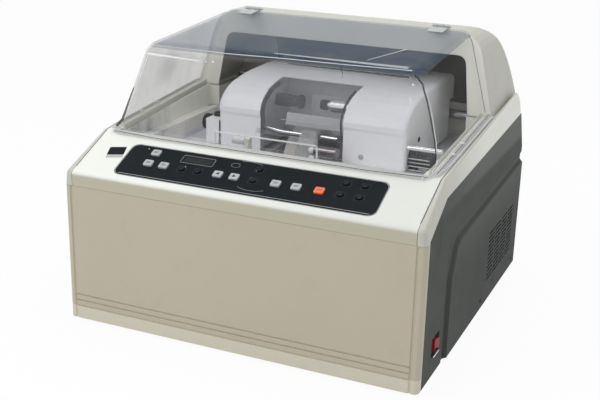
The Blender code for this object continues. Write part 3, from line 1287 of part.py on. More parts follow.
def make_head(finishes):
    swing = (0, SWING_Y, SWING_HEIGHT)
    profile = head_profile()
    shell = rounded_bar(profile, HEAD_LEFT, HEAD_RIGHT, HEAD_LEFT_ROUND, HEAD_RIGHT_ROUND)
    shoulder_end = HEAD_FRONT_Y + HEAD_DEPTH * SHOULDER_DEPTH_SHARE
    shoulder_low = (HEAD_LEFT - SHOULDER_WIDTH, HEAD_FRONT_Y + HEAD_WALL, HEAD_BOTTOM)
    shoulder_high = (HEAD_LEFT + HEAD_WALL / 2, shoulder_end, HEAD_BOTTOM + SHOULDER_HEIGHT)
    shell = fused(shell, block(shoulder_low, shoulder_high))
    wall = HEAD_WALL
    low = HEAD_BOTTOM - OVERRUN
    inner = shifted(profile, -wall, closed=False)
    inner[0] = (inner[0][0], low)
    inner[-1] = (inner[-1][0], low)
    hollow = rounded_bar(
        inner, HEAD_LEFT + wall, HEAD_RIGHT - wall, HEAD_LEFT_ROUND - wall, HEAD_RIGHT_ROUND - wall
    )
    shoulder_hollow = block(
        (shoulder_low[0] + wall, shoulder_low[1] + wall, low),
        (HEAD_LEFT + 2 * wall, shoulder_end - wall, shoulder_high[2] - wall),
    )
    mouth = block(
        (CHAMBER_LEFT, HEAD_FRONT_Y - 2 * wall, low), (CHAMBER_RIGHT, CHAMBER_REAR_Y, HEAD_TOP + OVERRUN)
    )
    rear_y = HEAD_FRONT_Y + HEAD_DEPTH
    notch = block(
        (HEAD_LEFT - OVERRUN, HEAD_NOTCH_Y, low), (HEAD_RIGHT + OVERRUN, rear_y + OVERRUN, HEAD_NOTCH_HEIGHT)
    )
    rod_hole = rod(
        "X", (0, CLAMP_ROD_Y, CLAMP_ROD_HEIGHT), CLAMP_ROD_RADIUS + GAP, HEAD_RIGHT - 2 * wall, HEAD_RIGHT + OVERRUN, 16
    )
    cover = cut(shell, hollow, shoulder_hollow, mouth, notch, rod_hole)
    add_part("head_cover", cover, finishes["lilac_white"], origin=swing)

    rim = shifted(profile, -HEAD_WALL - GAP, closed=False)
    frame_low = HEAD_BOTTOM + HEAD_WALL
    plate_line = [(y, max(z, frame_low)) for y, z in rim if y < FRAME_REAR_Y]
    plate_line.append((FRAME_REAR_Y + PLATE_THICK, head_surface(FRAME_REAR_Y + PLATE_THICK) - HEAD_WALL - 2 * GAP))
    plate_line.append((FRAME_REAR_Y + PLATE_THICK, frame_low))
    left_in = CHAMBER_LEFT - GAP
    right_in = CHAMBER_RIGHT + GAP
    left_out = left_in - PLATE_THICK
    right_out = right_in + PLATE_THICK
    left_plate = prism(plate_line, "X", left_out, left_in)
    right_plate = prism(plate_line, "X", right_in, right_out)
    wall_top = head_surface(FRAME_REAR_Y) - HEAD_WALL - 2 * GAP
    back = block(
        (left_out + GAP, FRAME_REAR_Y, frame_low + FRAME_BACK_LIFT),
        (right_out - GAP, FRAME_REAR_Y + PLATE_THICK - GAP, wall_top),
    )
    top_y = DEFLECTOR_Y + DEFLECTOR_LEAN
    deflector = prism(
        [
            (DEFLECTOR_Y, DEFLECTOR_LOW), (DEFLECTOR_Y + DEFLECTOR_THICK, DEFLECTOR_LOW),
            (top_y + DEFLECTOR_THICK, DEFLECTOR_TOP), (top_y, DEFLECTOR_TOP),
        ],
        "X", DEFLECTOR_LEFT, right_in + WALL,
    )
    axis = (0, LENS_Y, LENS_HEIGHT)
    left_tube = rod("X", axis, TUBE_OUTER, left_in - LEFT_TUBE_LENGTH, left_in - GAP)
    right_tube = rod("X", axis, TUBE_OUTER, right_in + GAP, right_in + RIGHT_TUBE_LENGTH)
    frame = fused(left_plate, back, right_plate, left_tube, right_tube, deflector)
    for sign in (-1, 1):
        ends = sorted((sign * ARM_INNER, sign * (ARM_INNER + ARM_WIDTH)))
        arm = block(
            (ends[0] + GAP, FRAME_REAR_Y + GAP, SWING_HEIGHT - ARM_HALF_HEIGHT),
            (ends[1] - GAP, SWING_Y, SWING_HEIGHT + ARM_HALF_HEIGHT),
        )
        lug = rod("X", swing, SWING_LUG_RADIUS, ends[0], ends[1])
        frame = fused(frame, fused(arm, lug))
    frame = cut(
        frame,
        rod("X", swing, SWING_PIN_RADIUS + GAP, HEAD_LEFT, HEAD_RIGHT),
        rod("X", axis, LENS_SHAFT_RADIUS + GAP, HEAD_LEFT, 0),
        rod("X", axis, SLEEVE_RADIUS + GAP, 0, HEAD_RIGHT),
        rod("X", (0, DOOR_PIN_Y, door_axis_height()), DOOR_PIN_RADIUS + GAP, HEAD_LEFT, HEAD_RIGHT, 12),
    )
    add_part("carriage_frame", frame, finishes["graphite"], origin=swing)

    start = HEAD_RIGHT + GAP
    end = start + CLAMP_MOTOR_LENGTH
    radius = CLAMP_MOTOR_RADIUS
    neck = radius * 5 / 6
    third = CLAMP_MOTOR_LENGTH / 3
    motor = turned(
        [
            (start, 0), (start, radius), (start + third, radius), (start + third, neck), (end - third / 2, neck),
            (end - third / 2, radius), (end, radius), (end, 0),
        ],
        "X", (0, CLAMP_MOTOR_Y, CLAMP_MOTOR_HEIGHT), 28,
    )
    add_part("clamp_motor", motor, finishes["dark_metal"])


def door_axis_height():
    return head_surface(DOOR_PIN_Y) - DOOR_PIN_BELOW


def make_door(finishes):
    outer = [
        (y, z) for y, z in head_profile() if y < DOOR_PIN_Y and z > DOOR_BOTTOM
    ]
    outer.insert(0, (HEAD_FRONT_Y, DOOR_BOTTOM))
    tail = DOOR_PIN_Y + DOOR_TAIL
    outer.append((tail, head_surface(tail)))
    inner = shifted(outer, -DOOR_THICK, closed=False)
    left = CHAMBER_LEFT + DOOR_PLAY
    right = CHAMBER_RIGHT - DOOR_PLAY
    door = prism(outer + inner[::-1], "X", left, right)
    deep = shifted(outer, -DOOR_CHEEK, closed=False)
    deep = [(y, min(z, door_axis_height() + DOOR_PIN_RADIUS)) for y, z in deep]
    cheek = outer[:-1] + [(tail, outer[-1][1] - DOOR_THICK)] + deep[::-1]
    for low, high in ((left, left + DOOR_THICK), (right - DOOR_THICK, right)):
        door = fused(door, prism(cheek, "X", low, high))
    front = HEAD_FRONT_Y + DOOR_THICK / 2
    lip = block((LIP_LEFT, front - LIP_DEPTH, DOOR_BOTTOM), (LIP_RIGHT, front, DOOR_BOTTOM + LIP_HEIGHT))
    overlap = block(
        (LIP_LEFT - OVERRUN, HEAD_FRONT_Y - 2 * GAP, DOOR_BOTTOM - OVERRUN),
        (left, front + OVERRUN, DOOR_BOTTOM + 2 * LIP_HEIGHT),
    )
    door = fused(door, cut(lip, overlap))
    centre = (0, DOOR_PIN_Y, door_axis_height())
    for low, high in (
        (left - DOOR_PIN_REACH, left + DOOR_THICK / 2), (right - DOOR_THICK / 2, right + DOOR_PIN_REACH)
    ):
        door = fused(door, rod("X", centre, DOOR_PIN_RADIUS, low, high, 12))
    add_part("chamber_door", door, finishes["clear"], origin=centre)


def make_lens_shafts(finishes):
    axis = (0, LENS_Y, LENS_HEIGHT)
    chuck_back = CHUCK_LEFT_FACE - CHUCK_DEPTH
    left_end = CHAMBER_LEFT - LEFT_TUBE_LENGTH - 3 * WALL
    add_part(
        "lens_shaft_left", rod("X", axis, LENS_SHAFT_RADIUS, left_end, chuck_back - GAP), finishes["chrome"], origin=axis
    )
    hub = CHUCK_RADIUS * 3 / 4
    left_chuck = turned(
        [
            (chuck_back, 0), (chuck_back, hub), (chuck_back + CHUCK_DEPTH / 2, hub),
            (chuck_back + CHUCK_DEPTH / 2, CHUCK_RADIUS), (CHUCK_LEFT_FACE, CHUCK_RADIUS), (CHUCK_LEFT_FACE - WALL, 0),
        ],
        "X", axis, 24,
    )
    add_part("chuck_left", left_chuck, finishes["rubber"], origin=axis)

    right_back = CHUCK_RIGHT_FACE + CHUCK_DEPTH
    right_end = FORK_X + FORK_THICK + 3 * WALL
    add_part(
        "lens_shaft_right", rod("X", axis, CLAMP_SHAFT_RADIUS, right_back + GAP, right_end), finishes["chrome"], origin=axis
    )
    right_chuck = turned(
        [
            (CHUCK_RIGHT_FACE, 0), (CHUCK_RIGHT_FACE, CHUCK_RADIUS * 2 / 3), (CHUCK_RIGHT_FACE + WALL, hub),
            (right_back, hub), (right_back, 0),
        ],
        "X", axis, 24,
    )
    add_part("chuck_right", right_chuck, finishes["rubber"], origin=axis)

    sleeve_start = right_back + 2 * WALL
    sleeve = rod("X", axis, SLEEVE_RADIUS, sleeve_start, FORK_X + FORK_THICK)
    rod_axis = (0, CLAMP_ROD_Y, CLAMP_ROD_HEIGHT)
    bar = rod("X", rod_axis, CLAMP_ROD_RADIUS, FORK_X, CLAMP_ROD_END, 20)
    across = Vector((LENS_Y - CLAMP_ROD_Y, LENS_HEIGHT - CLAMP_ROD_HEIGHT)).normalized()
    width = CLAMP_ROD_RADIUS
    side_a = -across.y * width
    side_b = across.x * width
    arm = prism(
        [
            (CLAMP_ROD_Y + side_a, CLAMP_ROD_HEIGHT + side_b), (CLAMP_ROD_Y - side_a, CLAMP_ROD_HEIGHT - side_b),
            (LENS_Y - side_a, LENS_HEIGHT - side_b), (LENS_Y + side_a, LENS_HEIGHT + side_b),
        ],
        "X", FORK_X + GAP, FORK_X + FORK_THICK - GAP,
    )
    clamp = fused(sleeve, arm, bar)
    bore = rod("X", axis, CLAMP_SHAFT_RADIUS + GAP, sleeve_start - OVERRUN, FORK_X + FORK_THICK + OVERRUN)
    add_part("clamp_sleeve", cut(clamp, bore), finishes["chrome"], origin=axis)


def make_traverse(finishes):
    blocks = []
    half = TRAVERSE_BLOCK_HALF
    beam_high = SWING_HEIGHT - ARM_HALF_HEIGHT - WALL
    base = block(
        (-TRAVERSE_HALF, GUIDE_Y - half, GUIDE_HEIGHT - half), (TRAVERSE_HALF, GUIDE_Y - half + 2 * WALL, beam_high)
    )
    for sign in (-1, 1):
        ends = sorted((sign * TRAVERSE_HALF, sign * (TRAVERSE_HALF - TRAVERSE_LUG)))
        base = fused(
            base,
            block((ends[0], GUIDE_Y - half + GAP, GUIDE_HEIGHT - half + GAP), (ends[1], GUIDE_Y + half, GUIDE_HEIGHT + half)),
        )
        arm_ends = sorted((sign * (TRAVERSE_HALF - GAP), sign * (TRAVERSE_HALF - TRAVERSE_ARM)))
        arm = block(
            (arm_ends[0], SWING_Y, SWING_HEIGHT - SWING_LUG_RADIUS), (arm_ends[1], GUIDE_Y - half + WALL, GUIDE_HEIGHT + half / 2)
        )
        lug = rod("X", (0, SWING_Y, SWING_HEIGHT), SWING_LUG_RADIUS, arm_ends[0], arm_ends[1])
        blocks.append(fused(arm, lug))
    base = fused(base, *blocks)
    reach = ARM_INNER + ARM_WIDTH + WALL
    pin = rod("X", (0, SWING_Y, SWING_HEIGHT), SWING_PIN_RADIUS, -reach, reach)
    base = fused(base, pin)
    bore = rod("X", (0, GUIDE_Y, GUIDE_HEIGHT), GUIDE_RADIUS + GAP, -TRAVERSE_HALF - OVERRUN, TRAVERSE_HALF + OVERRUN)
    add_part("traverse_base", cut(base, bore), finishes["graphite"], origin=(0, GUIDE_Y, GUIDE_HEIGHT))


def belt_loop(one, one_radius, other, other_radius, steps=14):
    """Outline of a belt round two pulleys, each given by its (y, z) centre and radius."""
    first = Vector(one)
    second = Vector(other)
    line = second - first
    heading = math.atan2(line.y, line.x)
    spread = math.acos((one_radius - other_radius) / line.length)
    points = []
    for centre, radius, start, end in (
        (first, one_radius, heading + spread, heading + 2 * math.pi - spread),
        (second, other_radius, heading - spread, heading + spread),
    ):
        for step in range(steps + 1):
            angle = start + (end - start) * step / steps
            points.append((centre.x + radius * math.cos(angle), centre.y + radius * math.sin(angle)))
    return points


def make_wheel_drive(finishes):
    axis = (0, LENS_Y, WHEEL_HEIGHT)
    wheel_right = WHEEL_RIGHT
    edge = WALL / 2
    wheel = turned(
        [
            (WHEEL_LEFT, WHEEL_BORE), (WHEEL_LEFT, WHEEL_RADIUS - edge), (WHEEL_LEFT + edge, WHEEL_RADIUS),
            (wheel_right - edge, WHEEL_RADIUS), (wheel_right, WHEEL_RADIUS - edge), (wheel_right, WHEEL_BORE),
        ],
        "X", axis, 48,
    )
    add_part("grinding_wheel", wheel, finishes["abrasive"], origin=axis)

    pulley_end = PULLEY_X + PULLEY_WIDTH
    collar = WHEEL_LEFT - GAP
    cap_start = wheel_right + GAP
    profile = [
        (PULLEY_X, 0), (PULLEY_X, PULLEY_RADIUS), (pulley_end, PULLEY_RADIUS), (pulley_end, SPINDLE_RADIUS),
        (collar - SPINDLE_CAP, SPINDLE_RADIUS), (collar - SPINDLE_CAP, SPINDLE_CAP_RADIUS), (collar, SPINDLE_CAP_RADIUS),
        (collar, SPINDLE_RADIUS), (cap_start, SPINDLE_RADIUS), (cap_start, SPINDLE_CAP_RADIUS),
        (cap_start + SPINDLE_CAP, SPINDLE_CAP_RADIUS), (cap_start + SPINDLE_CAP, 0),
    ]
    add_part("wheel_spindle", turned(profile, "X", axis, 28), finishes["steel"], origin=axis)

    outside = -WELL_HALF - WALL - GAP
    housing = rod("X", axis, BEARING_OUTER, outside - BEARING_LENGTH, outside)
    half = PEDESTAL_DEPTH / 2
    foot_low = FOOT_HEIGHT + WALL + GAP
    stand = prism(
        [
            (LENS_Y - half, foot_low), (LENS_Y + half, foot_low), (LENS_Y + BEARING_OUTER - GAP, WHEEL_HEIGHT),
            (LENS_Y - BEARING_OUTER + GAP, WHEEL_HEIGHT),
        ],
        "X", outside - BEARING_LENGTH + GAP, outside - GAP,
    )
    housing = fused(housing, stand)
    bore = rod("X", axis, SPINDLE_RADIUS + GAP, outside - BEARING_LENGTH - OVERRUN, outside + OVERRUN)
    add_part("spindle_housing", cut(housing, bore), finishes["graphite"])

    motor_axis = (0, MOTOR_Y, MOTOR_HEIGHT)
    motor = rod("X", motor_axis, MOTOR_RADIUS, MOTOR_LEFT, MOTOR_LEFT + MOTOR_LENGTH, 36)
    foot_half = MOTOR_FOOT_WIDTH / 2
    foot = block(
        (MOTOR_LEFT + 2 * WALL, MOTOR_Y - foot_half, foot_low),
        (MOTOR_LEFT + MOTOR_LENGTH - 2 * WALL, MOTOR_Y + foot_half, MOTOR_HEIGHT - MOTOR_RADIUS / 2),
    )
    motor = fused(motor, foot)
    socket = rod("X", motor_axis, MOTOR_SHAFT_RADIUS + GAP, MOTOR_LEFT - OVERRUN, MOTOR_LEFT + MOTOR_SHAFT_GRIP)
    add_part("wheel_motor", cut(motor, socket), finishes["graphite"])

    profile = [
        (PULLEY_X, 0), (PULLEY_X, MOTOR_PULLEY_RADIUS), (pulley_end, MOTOR_PULLEY_RADIUS),
        (pulley_end, MOTOR_SHAFT_RADIUS), (MOTOR_LEFT + MOTOR_SHAFT_GRIP - GAP, MOTOR_SHAFT_RADIUS),
        (MOTOR_LEFT + MOTOR_SHAFT_GRIP - GAP, 0),
    ]
    add_part("motor_pulley", turned(profile, "X", motor_axis, 28), finishes["steel"], origin=motor_axis)

    centres = (axis[1:], motor_axis[1:])
    inner = belt_loop(centres[0], PULLEY_RADIUS + 2 * GAP, centres[1], MOTOR_PULLEY_RADIUS + 2 * GAP)
    thick = BELT_THICK + 2 * GAP
    outer = belt_loop(centres[0], PULLEY_RADIUS + thick, centres[1], MOTOR_PULLEY_RADIUS + thick)
    margin = PULLEY_WIDTH / 8
    belt = prism(outer, "X", PULLEY_X + margin, pulley_end - margin)
    belt = cut(belt, prism(inner, "X", PULLEY_X - margin, pulley_end + margin))
    add_part("drive_belt", belt, finishes["rubber"])


def main():
    clear_scene()
    finishes = {
        "beige": finish("beige_moulding", (0.45, 0.41, 0.31), 0.5),
        "beige_light": finish("light_beige_moulding", (0.48, 0.47, 0.40), 0.5),
        "ivory": finish("ivory_moulding", (0.56, 0.55, 0.47), 0.5),
        "cream": finish("cream_deck", (0.79, 0.80, 0.73), 0.4),
        "charcoal": finish("charcoal_moulding", (0.085, 0.092, 0.080), 0.6),
        "black": finish("black_panel", (0.022, 0.028, 0.030), 0.35),
        "glass_black": finish("display_glass", (0.008, 0.009, 0.010), 0.1),
        "gloss_black": finish("gloss_black_keys", (0.012, 0.012, 0.014), 0.15),
        "key_grey": finish("grey_keys", (0.48, 0.49, 0.50), 0.4),
        "orange": finish("orange_key", (0.95, 0.17, 0.05), 0.4),
        "red": finish("red_rocker", (0.35, 0.02, 0.03), 0.3),
        "rubber": finish("black_rubber", (0.02, 0.02, 0.02), 0.8),
        "sheet": finish("zinc_sheet", (0.45, 0.46, 0.46), 0.4, metallic=1),
        "steel": finish("brushed_steel", (0.55, 0.55, 0.55), 0.35, metallic=1),
        "chrome": finish("bright_chrome", (0.80, 0.80, 0.80), 0.08, metallic=1),
        "graphite": finish("graphite_casting", (0.09, 0.095, 0.10), 0.55),
        "dark_metal": finish("dark_plated_metal", (0.16, 0.15, 0.15), 0.35, metallic=1),
        "abrasive": finish("diamond_abrasive", (0.30, 0.27, 0.22), 0.85),
        "lilac": finish("lilac_grey_tray", (0.52, 0.52, 0.56), 0.45),
        "lilac_white": finish("lilac_white_cover", (0.71, 0.71, 0.75), 0.35),
        "white": finish("white_knob", (0.80, 0.80, 0.80), 0.2),
        "slate": finish("slate_sheet", (0.055, 0.065, 0.075), 0.4),
        "clear": finish("clear_acrylic", (0.75, 0.78, 0.78), 0.05, alpha=0.25),
    }
    make_base(finishes)
    make_front_panel(finishes)
    make_side_covers(finishes)
    make_rear_panel(finishes)
    make_deck(finishes)
    make_rails(finishes)
    make_rear_housing(finishes)
    make_tray(finishes)
    make_bay_fittings(finishes)
    make_hood(finishes)
    make_head(finishes)
    make_door(finishes)
    make_lens_shafts(finishes)
    make_traverse(finishes)
    make_wheel_drive(finishes)


main()
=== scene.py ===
"""Finishes, fittings, studio and camera for a benchtop lens edger.

Metres, +Z up, -Y to the front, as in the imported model.
"""

import json
import math

import bmesh
import bpy
from mathutils import Matrix, Vector


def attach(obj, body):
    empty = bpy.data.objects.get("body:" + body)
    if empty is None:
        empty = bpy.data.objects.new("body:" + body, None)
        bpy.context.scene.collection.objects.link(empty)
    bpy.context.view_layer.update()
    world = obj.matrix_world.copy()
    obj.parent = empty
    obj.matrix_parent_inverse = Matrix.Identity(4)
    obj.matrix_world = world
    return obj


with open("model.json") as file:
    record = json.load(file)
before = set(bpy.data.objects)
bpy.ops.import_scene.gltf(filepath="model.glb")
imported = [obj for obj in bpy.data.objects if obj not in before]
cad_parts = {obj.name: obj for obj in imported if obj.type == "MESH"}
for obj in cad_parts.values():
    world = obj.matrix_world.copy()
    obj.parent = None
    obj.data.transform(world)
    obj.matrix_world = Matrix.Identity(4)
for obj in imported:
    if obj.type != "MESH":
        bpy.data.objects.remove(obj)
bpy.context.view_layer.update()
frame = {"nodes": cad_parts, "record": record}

# Sloped deck, on which the panel, its keys and the small plate lie
DECK_SLOPE = math.radians(23.4)
DECK_START = (0, -0.2605, 0.24511)
DECK = Matrix.Translation(DECK_START) @ Matrix.Rotation(DECK_SLOPE, 4, "X")
PANEL_FACE = -0.0003
PANEL_HALF = 0.203
PANEL_LENGTH = 0.0715
PANEL_CORNER = 0.012
WINDOW_PLACE = (-0.087, 0.0546)
WINDOW_SIZE = (0.046, 0.011)
GAP = 0.0001
LENS_AXIS = (0, 0.014, 0.314)
WHEEL_AXIS = (0, 0.014, 0.216)
# Painted reflection: a cool sheen over the hood's top.
PAINTED_SHEEN_COLOUR = (0.034, 0.086, 0.168)
# Painted shade on the level faces of the hood's flange.
FLANGE_PAINTED_SHADE = (0.44, 0.44, 0.47)

# Places and heights where a finish changes, each as where the change starts and ends.
# Those for the hood, the tray's front corner, the arch's front face and the side covers' grooves and vents
# bound painted light and shade.
HOOD_TOP = (0.4, 0.41)
HOOD_LEFT_PANE = (-0.222, -0.204)
LEFT_PANE_PAINTED_REFLECTION = (-0.2365, -0.045, 0.362)
TRAY_PAINTED_SHADOW = (-0.235, -0.13, 0.262)
TRAY_WALL_FOOT = (0.24, 0.244)
DECK_ROLL = (0.2345, 0.2395)
ARCH_PAINTED_LIGHT = (0.125, 0.135)
PLINTH_TOP = (0.0255, 0.027)
SIDE_FACE = (0.2812, 0.2822)
SIDE_GROOVE_FLOOR = (0.2775, 0.2786)
VENT_INSIDE = (0.277, 0.2818)
VENT_FRONT = (0.055, 0.06)
VENT_REAR = (0.262, 0.265)
VENT_TOP = (0.15, 0.154)


class Reading:
    """A shader value that changes over a surface. Sums, products and powers of it add their Math nodes."""

    def __init__(self, finish, socket):
        self.finish = finish
        self.socket = socket

    def maths(self, operation, first, second):
        return self.finish.add("ShaderNodeMath", {"operation": operation}, {0: first, 1: second})

    def __add__(self, other):
        return self.maths("ADD", self, other)

    def __sub__(self, other):
        return self.maths("SUBTRACT", self, other)

    def __rsub__(self, other):
        return self.maths("SUBTRACT", other, self)

    def __mul__(self, other):
        return self.maths("MULTIPLY", self, other)

    def __pow__(self, other):
        return self.maths("POWER", self, other)

    __radd__ = __add__
    __rmul__ = __mul__


class Finish:
    """A material with a Principled shader, and the nodes that vary it over a surface."""

    def __init__(self, name, colour, roughness, **fixed):
        self.name = name
        self.material = bpy.data.materials.new(name)
        self.material.use_nodes = True
        self.tree = self.material.node_tree
        self.shader = self.tree.nodes["Principled BSDF"]
        self.set(Base_Color=(*colour, 1), Roughness=roughness, **fixed)
        self.colour = (*colour, 1)
        self.place = self.add("ShaderNodeTexCoord", output="Object")

    def add(self, kind, settings=None, sockets=None, output=0):
        """One node of a type: its settings first, then the values or links of its sockets."""
        node = self.tree.nodes.new(kind)
        for key, value in (settings or {}).items():
            setattr(node, key, value)
        for key, value in (sockets or {}).items():
            self.feed(node.inputs[key], value)
        return Reading(self, node.outputs[output])

    def feed(self, socket, value):
        if isinstance(value, Reading):
            self.tree.links.new(value.socket, socket)
        else:
            socket.default_value = value

    def set(self, **values):
        """Values or links of the Principled shader's sockets."""
        for key, value in values.items():
            self.feed(self.shader.inputs[key.replace("_", " ")], value)

    def noise(self, scale, detail=2, rough=0.5, stretch=None):
        place = self.place
        if stretch:
            place = self.add("ShaderNodeMapping", sockets={"Vector": place, "Scale": stretch})
        return self.add(
            "ShaderNodeTexNoise",
            sockets={"Vector": place, "Scale": scale, "Detail": detail, "Roughness": rough},
        )

    def cells(self, scale):
        return self.add("ShaderNodeTexVoronoi", sockets={"Vector": self.place, "Scale": scale})

    def step(self, value, low, high, start=0.0, end=1.0):
        """A smooth step of a value, from one number to another."""
        return self.add(
            "ShaderNodeMapRange",
            {"interpolation_type": "SMOOTHSTEP"},
            {"Value": value, "From Min": low, "From Max": high, "To Min": start, "To Max": end},
        )

    def axis(self, letter):
        """One coordinate of the surface's place."""
        return self.add("ShaderNodeSeparateXYZ", sockets={0: self.place}, output=letter)

    def lean(self, letter):
        """How far the surface's normal leans along an axis, from 0 to 1."""
        normal = self.add("ShaderNodeNewGeometry", output="Normal")
        part = self.add("ShaderNodeSeparateXYZ", sockets={0: normal}, output=letter)
        return self.add("ShaderNodeMath", {"operation": "ABSOLUTE"}, {0: part})

    def distance(self, point, mask=(1, 1, 1)):
        """Distance to a point, along the axes of the mask."""
        away = self.add("ShaderNodeVectorMath", {"operation": "SUBTRACT"}, {0: self.place, 1: point})
        flat = self.add("ShaderNodeVectorMath", {"operation": "MULTIPLY"}, {0: away, 1: mask})
        return self.add("ShaderNodeVectorMath", {"operation": "LENGTH"}, {0: flat}, "Value")

    def mix(self, factor, first, second):
        """Colours mixed by a factor."""
        return self.add(
            "ShaderNodeMix",
            {"data_type": "RGBA", "clamp_factor": True},
            {0: factor, 6: first, 7: second},
            2,
        )

    def shade(self, factor, amount):
        """The colour so far, towards a darker or paler one."""
        self.stain(factor, [min(1, channel * amount) for channel in self.colour[:3]])

    def stain(self, factor, colour):
        """The colour so far, towards another one."""
        base = self.shader.inputs["Base Color"]
        start = Reading(self, base.links[0].from_socket) if base.is_linked else self.colour
        self.set(Base_Color=self.mix(factor, start, (*colour, 1)))

    def edges(self, radius, low=0.02, high=0.12):
        """A mask that is 1 on edges, and the normal rounded over them."""
        soft = self.add("ShaderNodeBevel", {"samples": 6}, {"Radius": radius})
        plain = self.add("ShaderNodeNewGeometry", output="Normal")
        agree = self.add("ShaderNodeVectorMath", {"operation": "DOT_PRODUCT"}, {0: soft, 1: plain}, "Value")
        return self.step(1 - agree, low, high), soft

    def relief(self, height, depth, normal=None):
        """Bump from a height, in metres, on top of a rounded normal."""
        sockets = {"Strength": 1.0, "Distance": depth, "Height": height}
        if normal:
            sockets["Normal"] = normal
        self.set(Normal=self.add("ShaderNodeBump", sockets=sockets))


# Finishes

def moulding(name, colour, roughness, grain=0.00004, soil=0.9, edge=0.0008, wear=1.1, gloss=0.5):
    """Textured plastic or painted sheet: fine grain, faint mottling, soft worn edges."""
    finish = Finish(name, colour, roughness, IOR=1.48, Specular_IOR_Level=gloss)
    worn, soft = finish.edges(edge)
    cloud = finish.noise(7, 3, 0.6)
    fine = finish.noise(900, 2, 0.6)
    handled = finish.step(finish.noise(26, 4, 0.62), 0.52, 0.74)
    finish.shade(finish.step(cloud, 0.35, 0.75) * 0.5, 0.965)
    finish.shade(handled * 0.35, soil)
    finish.shade(finish.step(fine, 0.55, 0.75) * 0.35, 0.93)
    finish.shade(worn * 0.55, wear)
    finish.set(Roughness=roughness + (cloud - 0.5) * 0.1 + handled * 0.08 - worn * 0.08)
    finish.relief(finish.noise(1500, 2, 0.5), grain, soft)
    return finish


def gloss_plastic(name, colour, roughness, edge=0.0005, **fixed):
    """Shiny plastic with fine scratches and finger marks."""
    finish = Finish(name, colour, roughness, IOR=1.5, **fixed)
    worn, soft = finish.edges(edge)
    smear = finish.step(finish.noise(40, 4, 0.6, (1, 2.2, 1)), 0.45, 0.75)
    scratch = finish.step(finish.noise(260, 2, 0.5, (1, 14, 9)), 0.64, 0.7)
    finish.shade(smear * 0.3, 1.18)
    finish.shade(worn * 0.4, 1.3)
    finish.set(Roughness=roughness + smear * 0.1 + scratch * 0.1)
    finish.relief(finish.noise(500, 2, 0.5), 0.00001, soft)
    return finish


def clear_plastic(name, tint, veil, left_pane_shade, sheen, haze, shine):
    """Clear acrylic: near-clear panes, painted shade with a painted reflection patch on the streaked left
    pane, a cool sheen of painted reflection over the top, and painted shade on the flange.
    """
    finish = Finish(name, tint, 0.06, IOR=1.49, Specular_IOR_Level=0.15)
    away = finish.add("ShaderNodeLayerWeight", sockets={"Blend": 0.5}, output="Facing")
    level = finish.step(finish.lean("Z"), 0.6, 0.85)
    top = level * finish.step(finish.axis("Z"), *HOOD_TOP)
    left = finish.step(finish.axis("X"), *HOOD_LEFT_PANE, 1.0, 0.0) * (1 - level)
    left = left * finish.step(finish.lean("X"), 0.7, 0.9)
    streak = finish.step(finish.noise(26, 3, 0.6, (1, 2.2, 0.3)), 0.35, 0.75)
    patch = finish.step(finish.distance(LEFT_PANE_PAINTED_REFLECTION), 0.012, 0.042, 1.0, 0.0)
    smear = finish.step(finish.noise(22, 4, 0.6, (1, 1, 2.5)), 0.4, 0.8)
    flange = finish.step(finish.lean("Z"), 0.8, 0.95) * (1 - top)
    # Painted reflection as a cool sheen on the top.
    finish.stain(top * 0.95, PAINTED_SHEEN_COLOUR)
    # Painted shade on the flange's level faces.
    finish.stain(flange * 0.9, FLANGE_PAINTED_SHADE)
    finish.shade(smear * 0.4, 1.4)
    # Painted shade on the left pane, streaked, with a painted reflection patch.
    cover = veil + left * (left_pane_shade + streak * 0.05 + patch * 0.09)
    finish.set(Alpha=cover + top * sheen + flange * 0.16 + smear * haze, Roughness=0.06 + smear * 0.08)
    mirror = finish.add(
        "ShaderNodeBsdfPrincipled",
        sockets={"Base Color": (1, 1, 1, 1), "Metallic": 1.0, "Roughness": 0.04},
    )
    gleam = (0.006 + away ** 6 * shine) * (1 - level)
    plain = Reading(finish, finish.shader.outputs[0])
    both = finish.add("ShaderNodeMixShader", sockets={0: gleam, 1: plain, 2: mirror})
    finish.feed(finish.tree.nodes["Material Output"].inputs["Surface"], both)
    return finish


def smoked_plastic(name, tint, veil, rim):
    """Lightly smoked acrylic, denser at low angles."""
    finish = Finish(name, tint, 0.08, IOR=1.49, Specular_IOR_Level=0.25)
    away = finish.add("ShaderNodeLayerWeight", sockets={"Blend": 0.5}, output="Facing")
    smear = finish.step(finish.noise(30, 4, 0.6, (2.5, 1, 1)), 0.4, 0.8)
    scuff = finish.step(finish.noise(420, 2, 0.5, (12, 1, 1)), 0.66, 0.72)
    finish.shade(smear * 0.5, 1.3)
    finish.set(Alpha=veil + away ** 4 * rim + smear * 0.04 + scuff * 0.03, Roughness=0.08 + smear * 0.1)
    return finish


def polished_metal(name, colour, roughness, along=(1, 60, 60), depth=0.000004):
    """Plated or polished bar: fine turning lines, dull patches."""
    finish = Finish(name, colour, roughness, Metallic=1.0)
    worn, soft = finish.edges(0.0004)
    lines = finish.noise(90, 3, 0.6, along)
    patch = finish.step(finish.noise(35, 3, 0.6), 0.45, 0.75)
    finish.shade(patch * 0.35, 0.78)
    finish.shade(finish.step(lines, 0.5, 0.8) * 0.25, 0.85)
    finish.set(Roughness=roughness + patch * 0.12 + (lines - 0.5) * 0.1)
    finish.relief(lines, depth, soft)
    return finish


def brushed_metal(name, colour, roughness, along=(1, 40, 40), stained=(0.25, 0.22, 0.19)):
    """Brushed sheet or machined steel, a little stained."""
    finish = Finish(name, colour, roughness, Metallic=1.0)
    worn, soft = finish.edges(0.0005)
    lines = finish.noise(140, 4, 0.7, along)
    stain = finish.step(finish.noise(18, 4, 0.65), 0.55, 0.8)
    finish.shade(finish.step(lines, 0.35, 0.75), 0.8)
    finish.stain(stain * 0.3, stained)
    finish.shade(worn * 0.5, 1.3)
    finish.set(Roughness=roughness + (lines - 0.5) * 0.2 + stain * 0.15, Metallic=1 - stain * 0.3)
    finish.relief(lines, 0.00001, soft)
    return finish


